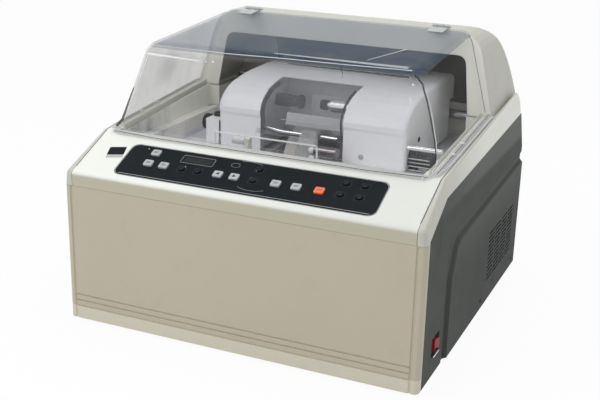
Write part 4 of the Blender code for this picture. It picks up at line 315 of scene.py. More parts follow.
def casting(name, colour, roughness):
    """Painted sand casting: orange-peel paint over a pitted skin, bare metal on its edges."""
    finish = Finish(name, colour, roughness)
    worn, soft = finish.edges(0.0009)
    pits = finish.noise(420, 3, 0.6)
    cloud = finish.step(finish.noise(30, 4, 0.6), 0.45, 0.75)
    bare = finish.step(worn + (finish.noise(150, 3, 0.6) - 0.5) * 1.2, 0.75, 0.95)
    finish.shade(cloud * 0.6, 1.45)
    finish.stain(bare * 0.8, (0.42, 0.42, 0.43))
    finish.set(Metallic=0.2 + bare * 0.8, Roughness=roughness + (pits - 0.5) * 0.2 - bare * 0.15)
    finish.relief(pits, 0.00012, soft)
    return finish


def rubber(name, colour=(0.018, 0.018, 0.019)):
    """Matt rubber with a dusty bloom."""
    finish = Finish(name, colour, 0.75, IOR=1.45)
    worn, soft = finish.edges(0.0006)
    bloom = finish.step(finish.noise(70, 4, 0.65), 0.45, 0.8)
    finish.shade(bloom * 0.7, 2.4)
    finish.shade(worn * 0.6, 2.2)
    finish.set(Roughness=0.68 + bloom * 0.2)
    finish.relief(finish.noise(900, 2, 0.5), 0.00006, soft)
    return finish


def abrasive(name, rim_colour, core_colour, rim_start):
    """Grinding wheel: a gritty bonded rim round a turned steel core."""
    finish = Finish(name, rim_colour, 0.75)
    out = finish.distance(WHEEL_AXIS, (0, 1, 1))
    core = finish.step(out, rim_start - 0.0006, rim_start, 1.0, 0.0)
    grit = finish.cells(1600)
    rings = finish.add("ShaderNodeMath", {"operation": "SINE"}, {0: out * 9000})
    soft = finish.edges(0.0005)[1]
    finish.shade(finish.step(grit, 0.25, 0.75) * 0.6, 0.72)
    finish.shade(finish.step(finish.noise(600, 2, 0.5), 0.6, 0.7) * 0.6, 1.3)
    finish.stain(core, core_colour)
    finish.set(Metallic=core * 0.95, Roughness=0.78 - core * 0.42)
    finish.relief(grit * (1 - core) + rings * core * 0.04, 0.00015, soft)
    return finish


def tray_plastic(name, colour, wall):
    """Grey tray, its floor cooler, its walls and ledge warmer and painted paler as painted light, faintly
    splashed, with a streaked painted shadow at the front left.
    """
    finish = moulding(name, colour, 0.42, 0.00002, 0.8)
    # The walls' warmer tone is their own; their paleness is painted light.
    finish.stain(finish.step(finish.axis("Z"), *TRAY_WALL_FOOT), wall)
    splash_and_shadow_streaks = finish.step(finish.noise(34, 4, 0.65, (1, 1, 0.5)), 0.46, 0.7)
    finish.shade(splash_and_shadow_streaks * 0.3, 0.75)
    # Painted shadow at the front left, streaked.
    corner = finish.step(finish.distance(TRAY_PAINTED_SHADOW), 0.03, 0.12, 1.0, 0.0)
    finish.shade(corner * (0.45 + splash_and_shadow_streaks * 0.5), 0.5)
    return finish


def deck_plastic(name, colour, fascia):
    """Off-white deck with painted shade towards the right, whose front turns beige below the roll."""
    finish = moulding(name, colour, 0.42, soil=0.95, wear=1.04)
    # Painted shade towards the right.
    finish.shade(finish.step(finish.axis("X"), -0.2, 0.24, 0.0, 0.8), 0.84)
    finish.stain(finish.step(finish.axis("Z"), *DECK_ROLL, 1.0, 0.0), fascia)
    return finish


def arch_moulding(name, colour, face):
    """Pale arch with painted light on its front face round its opening."""
    finish = moulding(name, colour, 0.5, edge=0.004, wear=1.05)
    # Painted light on the front face round the opening.
    facing = finish.step(finish.lean("Y"), 0.7, 0.9)
    finish.stain(facing * finish.step(finish.axis("Y"), *ARCH_PAINTED_LIGHT, 1.0, 0.0), face)
    return finish


def rail_moulding(name, colour, side):
    """Ivory rail with painted light on its outer side, strongest towards the rear."""
    finish = moulding(name, colour, 0.48)
    # Painted light on the outer side, growing towards the rear.
    rear = finish.step(finish.axis("Y"), -0.22, 0.06, 0.15, 1.0)
    finish.stain(finish.step(finish.lean("X"), 0.75, 0.95) * rear, side)
    return finish


def front_moulding(name, colour, plinth):
    """Beige front with a paler foot below its last groove."""
    finish = moulding(name, colour, 0.5)
    finish.stain(finish.step(finish.axis("Z"), *PLINTH_TOP, 1.0, 0.0), plinth)
    return finish


def side_sheet(name, colour):
    """Dark side cover with painted shade in its groove, inside its vent slots, low down and towards the
    front.
    """
    finish = moulding(name, colour, 0.58, 0.00008, 1.35, wear=1.35, gloss=0.08)
    across = finish.add("ShaderNodeMath", {"operation": "ABSOLUTE"}, {0: finish.axis("X")})
    height = finish.axis("Z")
    depth = finish.axis("Y")
    groove = finish.step(across, *SIDE_FACE, 1.0, 0.0) * finish.step(across, *SIDE_GROOVE_FLOOR)
    vent = finish.step(across, *VENT_INSIDE, 1.0, 0.0) * finish.step(depth, *VENT_FRONT)
    vent = vent * finish.step(depth, *VENT_REAR, 1.0, 0.0) * finish.step(height, *VENT_TOP, 1.0, 0.0)
    # Painted shade in the groove and inside the vent slots.
    finish.shade(groove * 0.7, 0.3)
    finish.shade(vent * 0.95, 0.08)
    # Painted shade towards the bottom and towards the front.
    finish.shade(finish.step(height, 0.1, 0.27, 0.85, 0.0), 0.3)
    finish.shade(finish.step(depth, -0.22, 0.04, 0.8, 0.0), 0.55)
    return finish


def panel_black(name, colour=(0.01, 0.013, 0.015)):
    """Printed panel sheet: satin black with faint dust and wiping marks."""
    finish = Finish(name, colour, 0.42, IOR=1.46, Specular_IOR_Level=0.06)
    worn, soft = finish.edges(0.0005)
    wipe = finish.step(finish.noise(20, 4, 0.6, (1, 3, 1)), 0.45, 0.8)
    specks = finish.step(finish.noise(700, 2, 0.5), 0.66, 0.72)
    finish.shade(wipe * 0.5, 1.5)
    finish.shade(specks * 0.35, 2.4)
    finish.shade(worn * 0.8, 4.5)
    finish.set(Roughness=0.4 + wipe * 0.14)
    finish.relief(finish.noise(1300, 2, 0.5), 0.00002, soft)
    return finish


made_finishes = (
    front_moulding("beige_moulding", (0.525, 0.475, 0.362), (0.66, 0.62, 0.5)),
    arch_moulding("light_beige_moulding", (0.54, 0.535, 0.475), (0.86, 0.85, 0.77)),
    rail_moulding("ivory_moulding", (0.56, 0.55, 0.485), (0.88, 0.875, 0.81)),
    deck_plastic("cream_deck", (0.845, 0.855, 0.8), (0.515, 0.482, 0.368)),
    side_sheet("charcoal_moulding", (0.142, 0.152, 0.14)),
    moulding("lilac_white_cover", (0.92, 0.92, 0.95), 0.3, 0.00001, 0.95, wear=1.05),
    tray_plastic("lilac_grey_tray", (0.82, 0.82, 0.86), (0.93, 0.92, 0.85)),
    moulding("grey_keys", (0.46, 0.47, 0.48), 0.45, 0.00002, 0.85, 0.0006, 1.2),
    moulding("orange_key", (0.95, 0.17, 0.05), 0.42, 0.00002, 0.85, 0.0006, 1.2),
    panel_black("black_panel"),
    gloss_plastic("display_glass", (0.004, 0.006, 0.006), 0.1, Specular_IOR_Level=0.25),
    gloss_plastic("gloss_black_keys", (0.006, 0.006, 0.008), 0.34, Specular_IOR_Level=0.15),
    gloss_plastic("red_rocker", (0.3, 0.016, 0.026), 0.3, Specular_IOR_Level=0.2),
    gloss_plastic("white_knob", (0.82, 0.82, 0.82), 0.18),
    rubber("black_rubber"),
    clear_plastic("clear_acrylic", (0.24, 0.228, 0.18), 0.012, 0.23, 0.27, 0.02, 0.1),
    smoked_plastic("smoked_acrylic", (0.56, 0.57, 0.61), 0.1, 0.34),
    # The next four are painted light and shade, drawn as thin clear strips: dark lines of painted shade,
    # bright painted highlights, pale bands of painted reflection (this look also gives the spray shield its
    # haze), and painted shade down the door's sides.
    smoked_plastic("acrylic_shade", (0.035, 0.037, 0.045), 0.6, 0.3),
    smoked_plastic("acrylic_gleam", (0.93, 0.95, 0.97), 0.66, 0.25),
    smoked_plastic("haze_and_painted_reflection", (0.8, 0.83, 0.86), 0.26, 0.2),
    smoked_plastic("door_edge_shade", (0.21, 0.205, 0.26), 0.45, 0.25),
    panel_black("panel_print", (0.15, 0.155, 0.16)),
    # A casting lighter than the carriage frame's own, as painted light in the chamber the door shades.
    casting("grey_casting", (0.58, 0.59, 0.62), 0.5),
    moulding("hinge_grey", (0.46, 0.47, 0.47), 0.45, 0.00001, 0.75),
    panel_black("faint_print", (0.03, 0.034, 0.036)),
    polished_metal("bright_chrome", (0.7, 0.71, 0.73), 0.14),
    brushed_metal("brushed_steel", (0.55, 0.55, 0.56), 0.34),
    brushed_metal("zinc_sheet", (0.46, 0.47, 0.47), 0.42, (1, 3, 1)),
    polished_metal("dark_plated_metal", (0.17, 0.16, 0.17), 0.28),
    casting("graphite_casting", (0.075, 0.08, 0.085), 0.55),
    moulding("slate_sheet", (0.019, 0.0195, 0.018), 0.5, 0.00001, 1.25, gloss=0.15),
    abrasive("diamond_abrasive", (0.6, 0.59, 0.56), (0.5, 0.5, 0.51), 0.054),
)
finishes = {made.name: made for made in made_finishes}
# The carriage frame's lighter casting is painted light.
LOOKS = {
    "chamber_door": "smoked_acrylic", "carriage_frame": "grey_casting",
    "hood_hinge_left": "hinge_grey", "hood_hinge_right": "hinge_grey",
    "hinge_block_left": "hinge_grey", "hinge_block_right": "hinge_grey",
    "clamp_motor": "graphite_casting",
}
for subpart in frame["record"]["subparts"]:
    look = LOOKS.get(subpart["node"], subpart["material_slot"])
    for slot in frame["nodes"][subpart["node"]].material_slots:
        slot.material = finishes[look].material


# Shapes

SMALL_SIDES = 20


def corner_arcs(width, length, radius, segments=5):
    """Outline of a rounded rectangle about its middle, anticlockwise."""
    outline = []
    for turn, (side, end) in enumerate(((1, -1), (1, 1), (-1, 1), (-1, -1))):
        centre = Vector((side * (width / 2 - radius), end * (length / 2 - radius)))
        for step in range(segments + 1):
            angle = math.pi / 2 * (turn - 1 + step / segments)
            outline.append(centre + radius * Vector((math.cos(angle), math.sin(angle))))
    return outline


def plate(outline, low, high, edge=0.0, inner=None):
    """A flat plate between two heights, with its upper edge chamfered, or a ring round an inner outline."""
    shape = bmesh.new()
    middle = sum((Vector(point) for point in outline), Vector((0, 0))) / len(outline)

    def level(points, height, inset=0.0):
        ring = []
        for point in points:
            point = Vector(point)
            away = (point - middle).normalized() * inset
            ring.append(shape.verts.new((*(point - away), height)))
        return ring

    rings = [level(outline, low), level(outline, high - edge), level(outline, high, edge)]
    if not edge:
        rings.pop(1)
    if inner:
        rings += [level(inner, high), level(inner, low)]
        rings.append(rings[0])
    for below, above in zip(rings, rings[1:]):
        for index in range(len(below)):
            following = (index + 1) % len(below)
            shape.faces.new((below[index], below[following], above[following], above[index]))
    if not inner:
        shape.faces.new(rings[-1])
        shape.faces.new(list(reversed(rings[0])))
    bmesh.ops.recalc_face_normals(shape, faces=shape.faces)
    return shape


def turned(profile, sides=24):
    """A form turned about the Z axis from (radius, height) points, closed on the axis."""
    shape = bmesh.new()
    rings = []
    for radius, height in profile:
        if radius <= 0:
            rings.append([shape.verts.new((0, 0, height))])
            continue
        angles = [2 * math.pi * side / sides for side in range(sides)]
        round_points = [(radius * math.cos(angle), radius * math.sin(angle), height) for angle in angles]
        rings.append([shape.verts.new(point) for point in round_points])
    for below, above in zip(rings, rings[1:]):
        for side in range(sides):
            following = (side + 1) % sides
            corners = [below[side % len(below)], below[following % len(below)]]
            corners += [above[following % len(above)], above[side % len(above)]]
            corners = list(dict.fromkeys(corners))
            if len(corners) > 2:
                shape.faces.new(corners)
    bmesh.ops.recalc_face_normals(shape, faces=shape.faces)
    return shape


def strip(points, radius, sides=8, flat=1.0, up=(0, 0, 1), end_radius=None):
    """A thin closed bar along points, round or flattened, perhaps tapering."""
    shape = bmesh.new()
    points = [Vector(point) for point in points]
    last = len(points) - 1
    rings = []
    for index, point in enumerate(points):
        along = (points[min(index + 1, last)] - points[max(index - 1, 0)]).normalized()
        across = along.cross(Vector(up)).normalized()
        rise = across.cross(along) * flat
        reach = radius + ((end_radius or radius) - radius) * index / last
        ring = []
        for side in range(sides):
            angle = 2 * math.pi * (side + 0.5) / sides
            way = math.cos(angle) * across + math.sin(angle) * rise
            ring.append(shape.verts.new(point + reach * way))
        rings.append(ring)
    for below, above in zip(rings, rings[1:]):
        for side in range(sides):
            following = (side + 1) % sides
            shape.faces.new((below[side], below[following], above[following], above[side]))
    shape.faces.new(rings[0])
    shape.faces.new(list(reversed(rings[-1])))
    bmesh.ops.recalc_face_normals(shape, faces=shape.faces)
    return shape


def block(low, high, bevel=0.0006):
    """A box between two corners with its edges taken off."""
    middle = (Vector(low) + Vector(high)) / 2
    size = Vector(high) - Vector(low)
    shape = bmesh.new()
    bmesh.ops.create_cube(shape, size=1, matrix=Matrix.Translation(middle) @ Matrix.Diagonal((*size, 1)))
    bmesh.ops.bevel(shape, geom=shape.edges[:], offset=bevel, segments=2, affect="EDGES")
    return shape


def placed(shape, matrix):
    bmesh.ops.transform(shape, matrix=matrix, verts=shape.verts)
    return shape


def together(shapes):
    """Several shapes as one mesh."""
    joined = bmesh.new()
    for shape in shapes:
        mesh = bpy.data.meshes.new("joined")
        shape.to_mesh(mesh)
        joined.from_mesh(mesh)
        bpy.data.meshes.remove(mesh)
        shape.free()
    return joined


def piece(name, shape, body, slot, look=None, smooth=40):
    """Puts a shape into the scene as a piece that moves with a body."""
    mesh = bpy.data.meshes.new(name)
    shape.to_mesh(mesh)
    shape.free()
    for face in mesh.polygons:
        face.use_smooth = True
    mesh.set_sharp_from_angle(angle=math.radians(smooth))
    made = bpy.data.objects.new(name, mesh)
    bpy.context.scene.collection.objects.link(made)
    made.data.materials.append(finishes[look or slot].material)
    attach(made, body)


def aimed(place, normal):
    """A frame at a place whose Z points along a normal."""
    return Matrix.Translation(place) @ Vector(normal).to_track_quat("Z", "Y").to_matrix().to_4x4()


def struck(node, start, way):
    """A frame on a node's skin where a line meets it, facing out."""
    hit, place, normal, _ = frame["nodes"][node].ray_cast(Vector(start), Vector(way))
    if not hit:
        raise ValueError(f"no skin of {node} on the line from {start}")
    return aimed(place, normal)


def screw(radius, proud):
    """A pan head with a round socket, seated at height zero."""
    rim = [(0, -proud / 2), (radius, -proud / 2), (radius, proud * 0.35), (radius * 0.9, proud * 0.75)]
    dome = [(radius * 0.62, proud), (radius * 0.5, proud), (radius * 0.34, proud * 0.45), (0, proud * 0.45)]
    return turned(rim + dome, SMALL_SIDES)


def on_deck(x, along, proud=0.0):
    """A frame on the sloped deck."""
    return DECK @ Matrix.Translation((x, along, proud))


def skin_points(node, starts, sunk):
    """The places on a node's skin nearest to given points, sunk into it by a depth."""
    found = []
    for start in starts:
        _, place, normal, _ = frame["nodes"][node].closest_point_on_mesh(Vector(start))
        found.append(place - normal * sunk)
    return found


def line(places, count):
    """Points spaced evenly along each run between places."""
    points = [Vector(places[0])]
    for start, end in zip(places, places[1:]):
        points += [Vector(start).lerp(Vector(end), step / count) for step in range(1, count + 1)]
    return points


# Fittings on the deck

PRINT = (PANEL_FACE - GAP, PANEL_FACE + GAP)
ON_FACE = (-GAP, GAP)
UPPER_ROW = 0.0566
LOWER_ROW = 0.0326
BORDER_INSET = 0.0008
BORDER_WIDTH = 0.0007
# A painted highlight along the panel's lower edge.
LOW_HIGHLIGHT_PLACE = (0.0005, 0.0045)
LOW_HIGHLIGHT_SIZE = (0.388, 0.0008)
SURROUND_SPARE = (0.0068, 0.006)
SURROUND_CORNER = 0.0024
SURROUND_WIDTH = 0.0008
SURROUND_PROUD = 0.0004
BAR_CORNER = 0.0003
DOME_RADIUS = 0.00085
DOME_PLACES = (
    (-0.1041, 0.0377), (-0.0995, 0.0385), (-0.0794, 0.0375), (0.0073, 0.0536),
    (0.009, 0.058), (0.0068, 0.0368), (0.0085, 0.0345), (-0.1745, 0.064),
)
KEY_FACE = 0.0024
KEY_BAR = (0.0072, 0.0011)
KEY_BAR_RISE = 0.0011
BAR_KEYS = {
    "key_pattern": (-0.1575, UPPER_ROW), "key_size": (-0.158, LOWER_ROW),
    "key_distance": (-0.1325, LOWER_ROW), "key_water": (0.0465, LOWER_ROW),
    "key_clamp": (0.0775, LOWER_ROW), "key_start": (0.112, LOWER_ROW),
}
ARROW = ((0.003, 0), (-0.0022, 0.0026), (-0.0022, -0.0026))
ARROW_KEYS = {"key_minus": (-0.044, LOWER_ROW, 180), "key_plus": (-0.018, LOWER_ROW, 0)}
DARK_KEYS = (
    (-0.103, LOWER_ROW), (-0.0765, LOWER_ROW), (0.011, LOWER_ROW), (0.011, UPPER_ROW),
    (0.1425, UPPER_ROW), (0.17, UPPER_ROW), (0.1425, LOWER_ROW), (0.17, LOWER_ROW),
)
DARK_BORDER = (0.0135, 0.0125, 0.002, 0.0004)
# Middle, half width, half height, first and last angle
PANEL_CURVES = (
    (-0.0075, 0.0445, 0.036, 0.0255, 58, 112),
    (0.015, 0.0365, 0.036, 0.0255, 236, 304),
    (-0.0275, 0.058, 0.0068, 0.0045, 0, 352),
)
CURVE_STEPS = 18
CURVE_RADIUS = 0.00028


def frame_ring(width, length, corner, wide, low, high):
    """A flat ring round a rounded rectangle."""
    outer = corner_arcs(width, length, corner, 6)
    inner = corner_arcs(width - 2 * wide, length - 2 * wide, corner - wide / 2, 6)
    return plate(outer, low, high, 0, inner)


def panel_lines():
    """Bright border of the panel, a painted highlight along its foot and the display's surround."""
    width, length = 2 * PANEL_HALF - BORDER_INSET, PANEL_LENGTH - BORDER_INSET
    border = frame_ring(width, length, PANEL_CORNER, BORDER_WIDTH, *PRINT)
    piece("panel_bright_line", placed(border, on_deck(0, PANEL_LENGTH / 2)), "cabinet", "grey_keys")
    # Painted highlight along the panel's lower edge.
    foot = plate(corner_arcs(*LOW_HIGHLIGHT_SIZE, BAR_CORNER, 2), *PRINT)
    piece("panel_low_highlight", placed(foot, on_deck(*LOW_HIGHLIGHT_PLACE)), "cabinet", "grey_keys")
    width, length = (size + spare for size, spare in zip(WINDOW_SIZE, SURROUND_SPARE))
    low, high = PANEL_FACE - GAP, PANEL_FACE + SURROUND_PROUD
    surround = frame_ring(width, length, SURROUND_CORNER, SURROUND_WIDTH, low, high)
    surround = placed(surround, on_deck(*WINDOW_PLACE))
    piece("display_surround", surround, "cabinet", "black_panel", "panel_print")


def panel_white_domes():
    """Small white domes between the keys."""
    profile = [(DOME_RADIUS, -GAP), (DOME_RADIUS * 0.9, 0.0003), (DOME_RADIUS * 0.5, 0.0006), (0, 0.0007)]
    domes = [placed(turned(profile, 10), on_deck(x, along, PANEL_FACE)) for x, along in DOME_PLACES]
    piece("panel_white_domes", together(domes), "cabinet", "white_knob")


def key_marks():
    """Two bars on each square key, an arrow on each of the two step keys."""
    for name, (x, along) in BAR_KEYS.items():
        bars = []
        for way in (-1, 1):
            bar = plate(corner_arcs(*KEY_BAR, BAR_CORNER, 2), *ON_FACE)
            bars.append(placed(bar, on_deck(x, along + way * KEY_BAR_RISE, KEY_FACE)))
        piece(f"mark_of_{name}", together(bars), f"{name}_cap", "dark_plated_metal")
    for name, (x, along, turn) in ARROW_KEYS.items():
        seat = on_deck(x, along, KEY_FACE) @ Matrix.Rotation(math.radians(turn), 4, "Z")
        piece(f"mark_of_{name}", placed(plate(ARROW, *ON_FACE), seat), f"{name}_cap", "black_panel")


def panel_curves():
    """Faint borders round the black keys, and thin printed arcs."""
    rings = [placed(frame_ring(*DARK_BORDER, *PRINT), on_deck(x, along)) for x, along in DARK_KEYS]
    piece("dark_key_borders", together(rings), "cabinet", "black_panel", "faint_print")
    arcs = []
    for x, along, wide, tall, start, end in PANEL_CURVES:
        points = []
        for step in range(CURVE_STEPS + 1):
            angle = math.radians(start + (end - start) * step / CURVE_STEPS)
            place = on_deck(x + wide * math.cos(angle), along + tall * math.sin(angle), PANEL_FACE)
            points.append(place.translation)
        arcs.append(strip(points, CURVE_RADIUS, 4, 0.4, DECK.to_3x3() @ Vector((0, 0, 1))))
    piece("panel_curves", together(arcs), "cabinet", "grey_keys")


PLATE_PLACE = (-0.2212, 0.0454)
PLATE_SIZE = (0.0265, 0.0245)
PLATE_TURN = math.radians(12.5)
PLATE_SHARE = 0.26
PLATE_SPACE = 0.0003
PLATE_EDGE = 0.0002


def blank_plate():
    """Small blank plate on the deck, set askew: a dark square over a grey strip."""
    width, length = PLATE_SIZE
    grey_length = length * PLATE_SHARE
    seat = on_deck(*PLATE_PLACE) @ Matrix.Rotation(PLATE_TURN, 4, "Z")
    dark_outline = corner_arcs(width, length - grey_length - 2 * PLATE_SPACE, 0.0012, 3)
    dark = plate(dark_outline, -GAP, 0.0005, PLATE_EDGE)
    grey = plate(corner_arcs(width, grey_length, 0.0008, 3), -GAP, 0.0004, PLATE_EDGE)
    upper = seat @ Matrix.Translation((0, grey_length / 2 + PLATE_SPACE, 0))
    lower = seat @ Matrix.Translation((0, (grey_length - length) / 2, 0))
    piece("blank_plate_upper", placed(dark, upper), "cabinet", "black_panel")
    piece("blank_plate_lower", placed(grey, lower), "cabinet", "grey_keys")


# Hood

# Painted highlights, painted shade and painted reflection bands along the hood's bends and rims.
# Name, look, radius at each end, depth in the skin, places
HOOD_LINES = (
    ("hood_bend_front_left", "acrylic_shade", 0.0023, 0.0009, 0.001,
     ((-0.256, -0.164, 0.289), (-0.239, -0.156, 0.35))),
    ("hood_gleam_front_left", "acrylic_gleam", 0.0005, 0.0008, 0.0008,
     ((-0.242, -0.172, 0.301), (-0.211, -0.144, 0.4))),
    ("hood_streak_front", "acrylic_gleam", 0.0032, 0.001, 0.0008,
     ((-0.2112, -0.144, 0.4), (-0.1192, -0.144, 0.3975))),
    ("hood_gleam_top_front", "acrylic_gleam", 0.0006, 0.0011, 0.0006,
     ((-0.208, -0.1375, 0.4175), (-0.0805, -0.1385, 0.4175), (0.2007, -0.129, 0.419))),
    ("hood_bend_top_front", "acrylic_shade", 0.0006, 0.002, 0.0012,
     ((0.0192, -0.1405, 0.4106), (0.2, -0.1405, 0.4105))),
    ("hood_haze_top_front", "haze_and_painted_reflection", 0.003, 0.0075, 0.0002,
     ((-0.01, -0.122, 0.419), (0.193, -0.122, 0.419))),
    ("hood_gleam_top_cross", "acrylic_gleam", 0.0005, 0.0007, 0.0003,
     ((0.127, -0.1064, 0.42), (0.159, -0.0263, 0.4255))),
    ("hood_bend_front_right", "acrylic_shade", 0.0014, 0.001, 0.001,
     ((0.2062, -0.1375, 0.4185), (0.2182, -0.14, 0.4104), (0.2254, -0.138, 0.3994),
      (0.2344, -0.1371, 0.3656), (0.245, -0.1399, 0.3254), (0.2518, -0.147, 0.2998))),
    ("hood_gleam_front_right", "acrylic_gleam", 0.0007, 0.0007, 0.0006,
     ((0.2265, -0.135, 0.395), (0.2349, -0.131, 0.365), (0.2465, -0.136, 0.321),
      (0.2534, -0.15, 0.294), (0.248, -0.176, 0.286))),
    ("hood_gleam_top_left", "acrylic_gleam", 0.0007, 0.0007, 0.0006,
     ((-0.219, -0.125, 0.418), (-0.2165, 0.105, 0.434))),
    ("hood_rim_outer_right", "acrylic_gleam", 0.0006, 0.0006, 0.0002,
     ((0.264, -0.175, 0.286), (0.264, 0.1, 0.308))),
    ("hood_rim_inner_right", "acrylic_shade", 0.0005, 0.0005, 0.0002,
     ((0.2575, -0.17, 0.29), (0.2575, 0.1, 0.312))),
    ("hood_gleam_short", "acrylic_gleam", 0.0006, 0.0006, 0.0004,
     ((0.206, -0.148, 0.382), (0.209, -0.15, 0.372))),
    ("hood_flange_edge_front", "acrylic_shade", 0.0007, 0.0007, 0.0004,
     ((-0.25, -0.1842, 0.284), (0.25, -0.1842, 0.284))),
    ("hood_foot_front", "haze_and_painted_reflection", 0.0008, 0.0008, 0.0004,
     ((-0.24, -0.176, 0.289), (0.24, -0.176, 0.289))),
    ("hood_rear_edge_right", "acrylic_shade", 0.0006, 0.0004, 0.0004,
     ((0.217, 0.112, 0.433), (0.2255, 0.108, 0.418), (0.254, 0.1, 0.312))),
    ("hood_rear_edge_left", "haze_and_painted_reflection", 0.0006, 0.0004, 0.0004,
     ((-0.217, 0.112, 0.433), (-0.2255, 0.108, 0.418), (-0.254, 0.1, 0.312))),
    ("hood_rim_outer_left", "acrylic_gleam", 0.0006, 0.0006, 0.0002,
     ((-0.264, -0.175, 0.286), (-0.264, 0.1, 0.308))),
)
HAZE_FLAT = 0.12
LINE_FLAT = 0.7
STOP_HALF = 0.256
STOP_PLACES = ((-0.0894, 0.2925), (-0.0414, 0.2965))
FRONT_STOP = (-0.253, -0.18, 0.286)
# Round bumpers; the last is a painted highlight dot on the right front bend.
BUMPERS = (
    (-0.1108, -0.145, 0.3976), (-0.0993, -0.145, 0.3987), (0.2227, 0.086, 0.434),
    (0.242, -0.185, 0.284), (0.2085, -0.145, 0.3995),
)
BUMPER = ((0.0016, -GAP), (0.0014, 0.0005), (0.0008, 0.0009), (0, 0.001))
HINGE_PLACES = {"left": -0.165, "right": 0.165}
HINGE_SCREW_STEP = 0.006
HINGE_SCREW_ROWS = (0.101, 0.1115)
ABOVE = 0.46


def hood_lines():
    """Painted highlights, painted shade and painted reflection bands along the bends and rims of the hood.
    """
    for name, look, radius, end_radius, sunk, places in HOOD_LINES:
        points = skin_points("hood", line(places, 6), sunk)
        run = points[-1] - points[0]
        steep = abs(run.z) > abs(run.x) and abs(run.z) > abs(run.y)
        up = (0, 1, 0.3) if steep else (0, 0, 1)
        flat = HAZE_FLAT if look == "haze_and_painted_reflection" else LINE_FLAT
        piece(name, strip(points, radius, 8, flat, up, end_radius), "lid", "clear_acrylic", look)


def hood_stops():
    """Clear pads on the flange and round bumpers on the panes, all in a painted-highlight look; the last
    bumper is only a painted highlight dot.
    """
    places = [(way * STOP_HALF, y, z) for way in (1, -1) for y, z in STOP_PLACES]
    for number, place in enumerate([*places, FRONT_STOP], 1):
        (stop,) = skin_points("hood", [place], -0.0001)
        tab = plate(corner_arcs(0.006, 0.005, 0.0012, 3), -0.0004, 0.0016, 0.0005)
        seat = Matrix.Translation(stop)
        piece(f"hood_stop_{number}", placed(tab, seat), "lid", "clear_acrylic", "acrylic_gleam")
    for number, place in enumerate(BUMPERS, 1):
        _, spot, normal, _ = frame["nodes"]["hood"].closest_point_on_mesh(Vector(place))
        bumper = placed(turned(BUMPER, 12), aimed(spot, normal))
        piece(f"hood_bumper_{number}", bumper, "lid", "clear_acrylic", "acrylic_gleam")


def hinge_screws():
    """Four small screws in each hinge leaf."""
    for side, x in HINGE_PLACES.items():
        for column, way in enumerate((-1, 1), 1):
            for row, y in enumerate(HINGE_SCREW_ROWS, 1):
                seat = struck(f"hood_hinge_{side}", (x + way * HINGE_SCREW_STEP, y, ABOVE), (0, 0, -1))
                screwed = placed(screw(0.0021, 0.0009), seat)
                piece(f"hinge_screw_{side}_{column}{row}", screwed, "lid", "brushed_steel")


# Bay

SIDES = (("left", -1), ("right", 1))
LEDGE_SCREWS = ((-0.2345, 0.095), (0.2345, 0.095), (-0.234, -0.128), (0.234, -0.128))
RIM_BEAD = ((0.245, -0.16, 0.2832), (0.245, 0.1, 0.3044))
ARCH_FOOT = ((0.2205, 0.1044, 0.2653), (0.2424, 0.112, 0.301))
DRAIN_PLACE = (-0.052, -0.012, 0.262)
DRAIN_TURN = math.radians(-24)
DRAIN_BAR_PITCH = 0.0062
DRAIN_BARS_EACH_WAY = 4
# Painted highlights along the guard's edges.
# Name, ends, radius
GUARD_LINES = (
    ("guard_edge_top", (-0.1205, -0.0968, 0.279), (0.05, -0.0968, 0.279), 0.0014),
    ("guard_edge_right", (0.0506, -0.0964, 0.278), (0.0506, -0.0964, 0.257), 0.0015),
    ("guard_edge_left", (-0.1206, -0.0964, 0.278), (-0.1206, -0.0964, 0.254), 0.0013),
    ("guard_low_line", (-0.119, -0.0968, 0.25), (0.0416, -0.0968, 0.253), 0.0009),
)
SHIELD = ((0.008, 0.29), (0.034, 0.29), (0.039, 0.244), (-0.004, 0.244))
SHIELD_Y = -0.059
JET = ((0, 0), (0.0046, 0), (0.0052, 0.002), (0.0052, 0.0075), (0.003, 0.01), (0, 0.0104))
JET_PLACE = (0.0345, -0.0655)
JET_HEIGHTS = (0.249, 0.262)


def bay_rim():
    """Screws in the ledge, a bead along each rim and the arch's feet."""
    for number, (x, y) in enumerate(LEDGE_SCREWS, 1):
        seat = struck("bay_tray", (x, y, 0.285), (0, 0, -1))
        piece(f"ledge_screw_{number}", placed(screw(0.0034, 0.0016), seat), "cabinet", "brushed_steel")
    for side, way in SIDES:
        run = [(way * x, y, z) for x, y, z in RIM_BEAD]
        bead = strip(line(run, 8), 0.0024, 12, 2.3)
        piece(f"bay_rim_bead_{side}", bead, "cabinet", "light_beige_moulding")
        (x_in, *low), (x_out, *high) = ARCH_FOOT
        inner, outer = sorted((way * x_in, way * x_out))
        piece(f"arch_foot_{side}", block((inner, *low), (outer, *high)), "cabinet", "light_beige_moulding")


def bay_drain():
    """A grid over the drain in the floor, set askew."""
    floor = struck("bay_tray", DRAIN_PLACE, (0, 0, -1)).translation
    seat = Matrix.Translation(floor) @ Matrix.Rotation(DRAIN_TURN, 4, "Z")
    grid = [placed(frame_ring(0.062, 0.032, 0.004, 0.0022, -GAP, 0.0012), seat)]
    for step in range(-DRAIN_BARS_EACH_WAY, DRAIN_BARS_EACH_WAY + 1):
        bar = plate(corner_arcs(0.0026, 0.028, 0.0008, 2), -GAP, 0.0008)
        grid.append(placed(bar, seat @ Matrix.Translation((step * DRAIN_BAR_PITCH, 0, 0))))
    piece("drain_grid", together(grid), "cabinet", "dark_plated_metal")
    well = plate(corner_arcs(0.06, 0.03, 0.003, 3), -GAP, 0.0003)
    piece("drain_well", placed(well, seat), "cabinet", "black_panel")


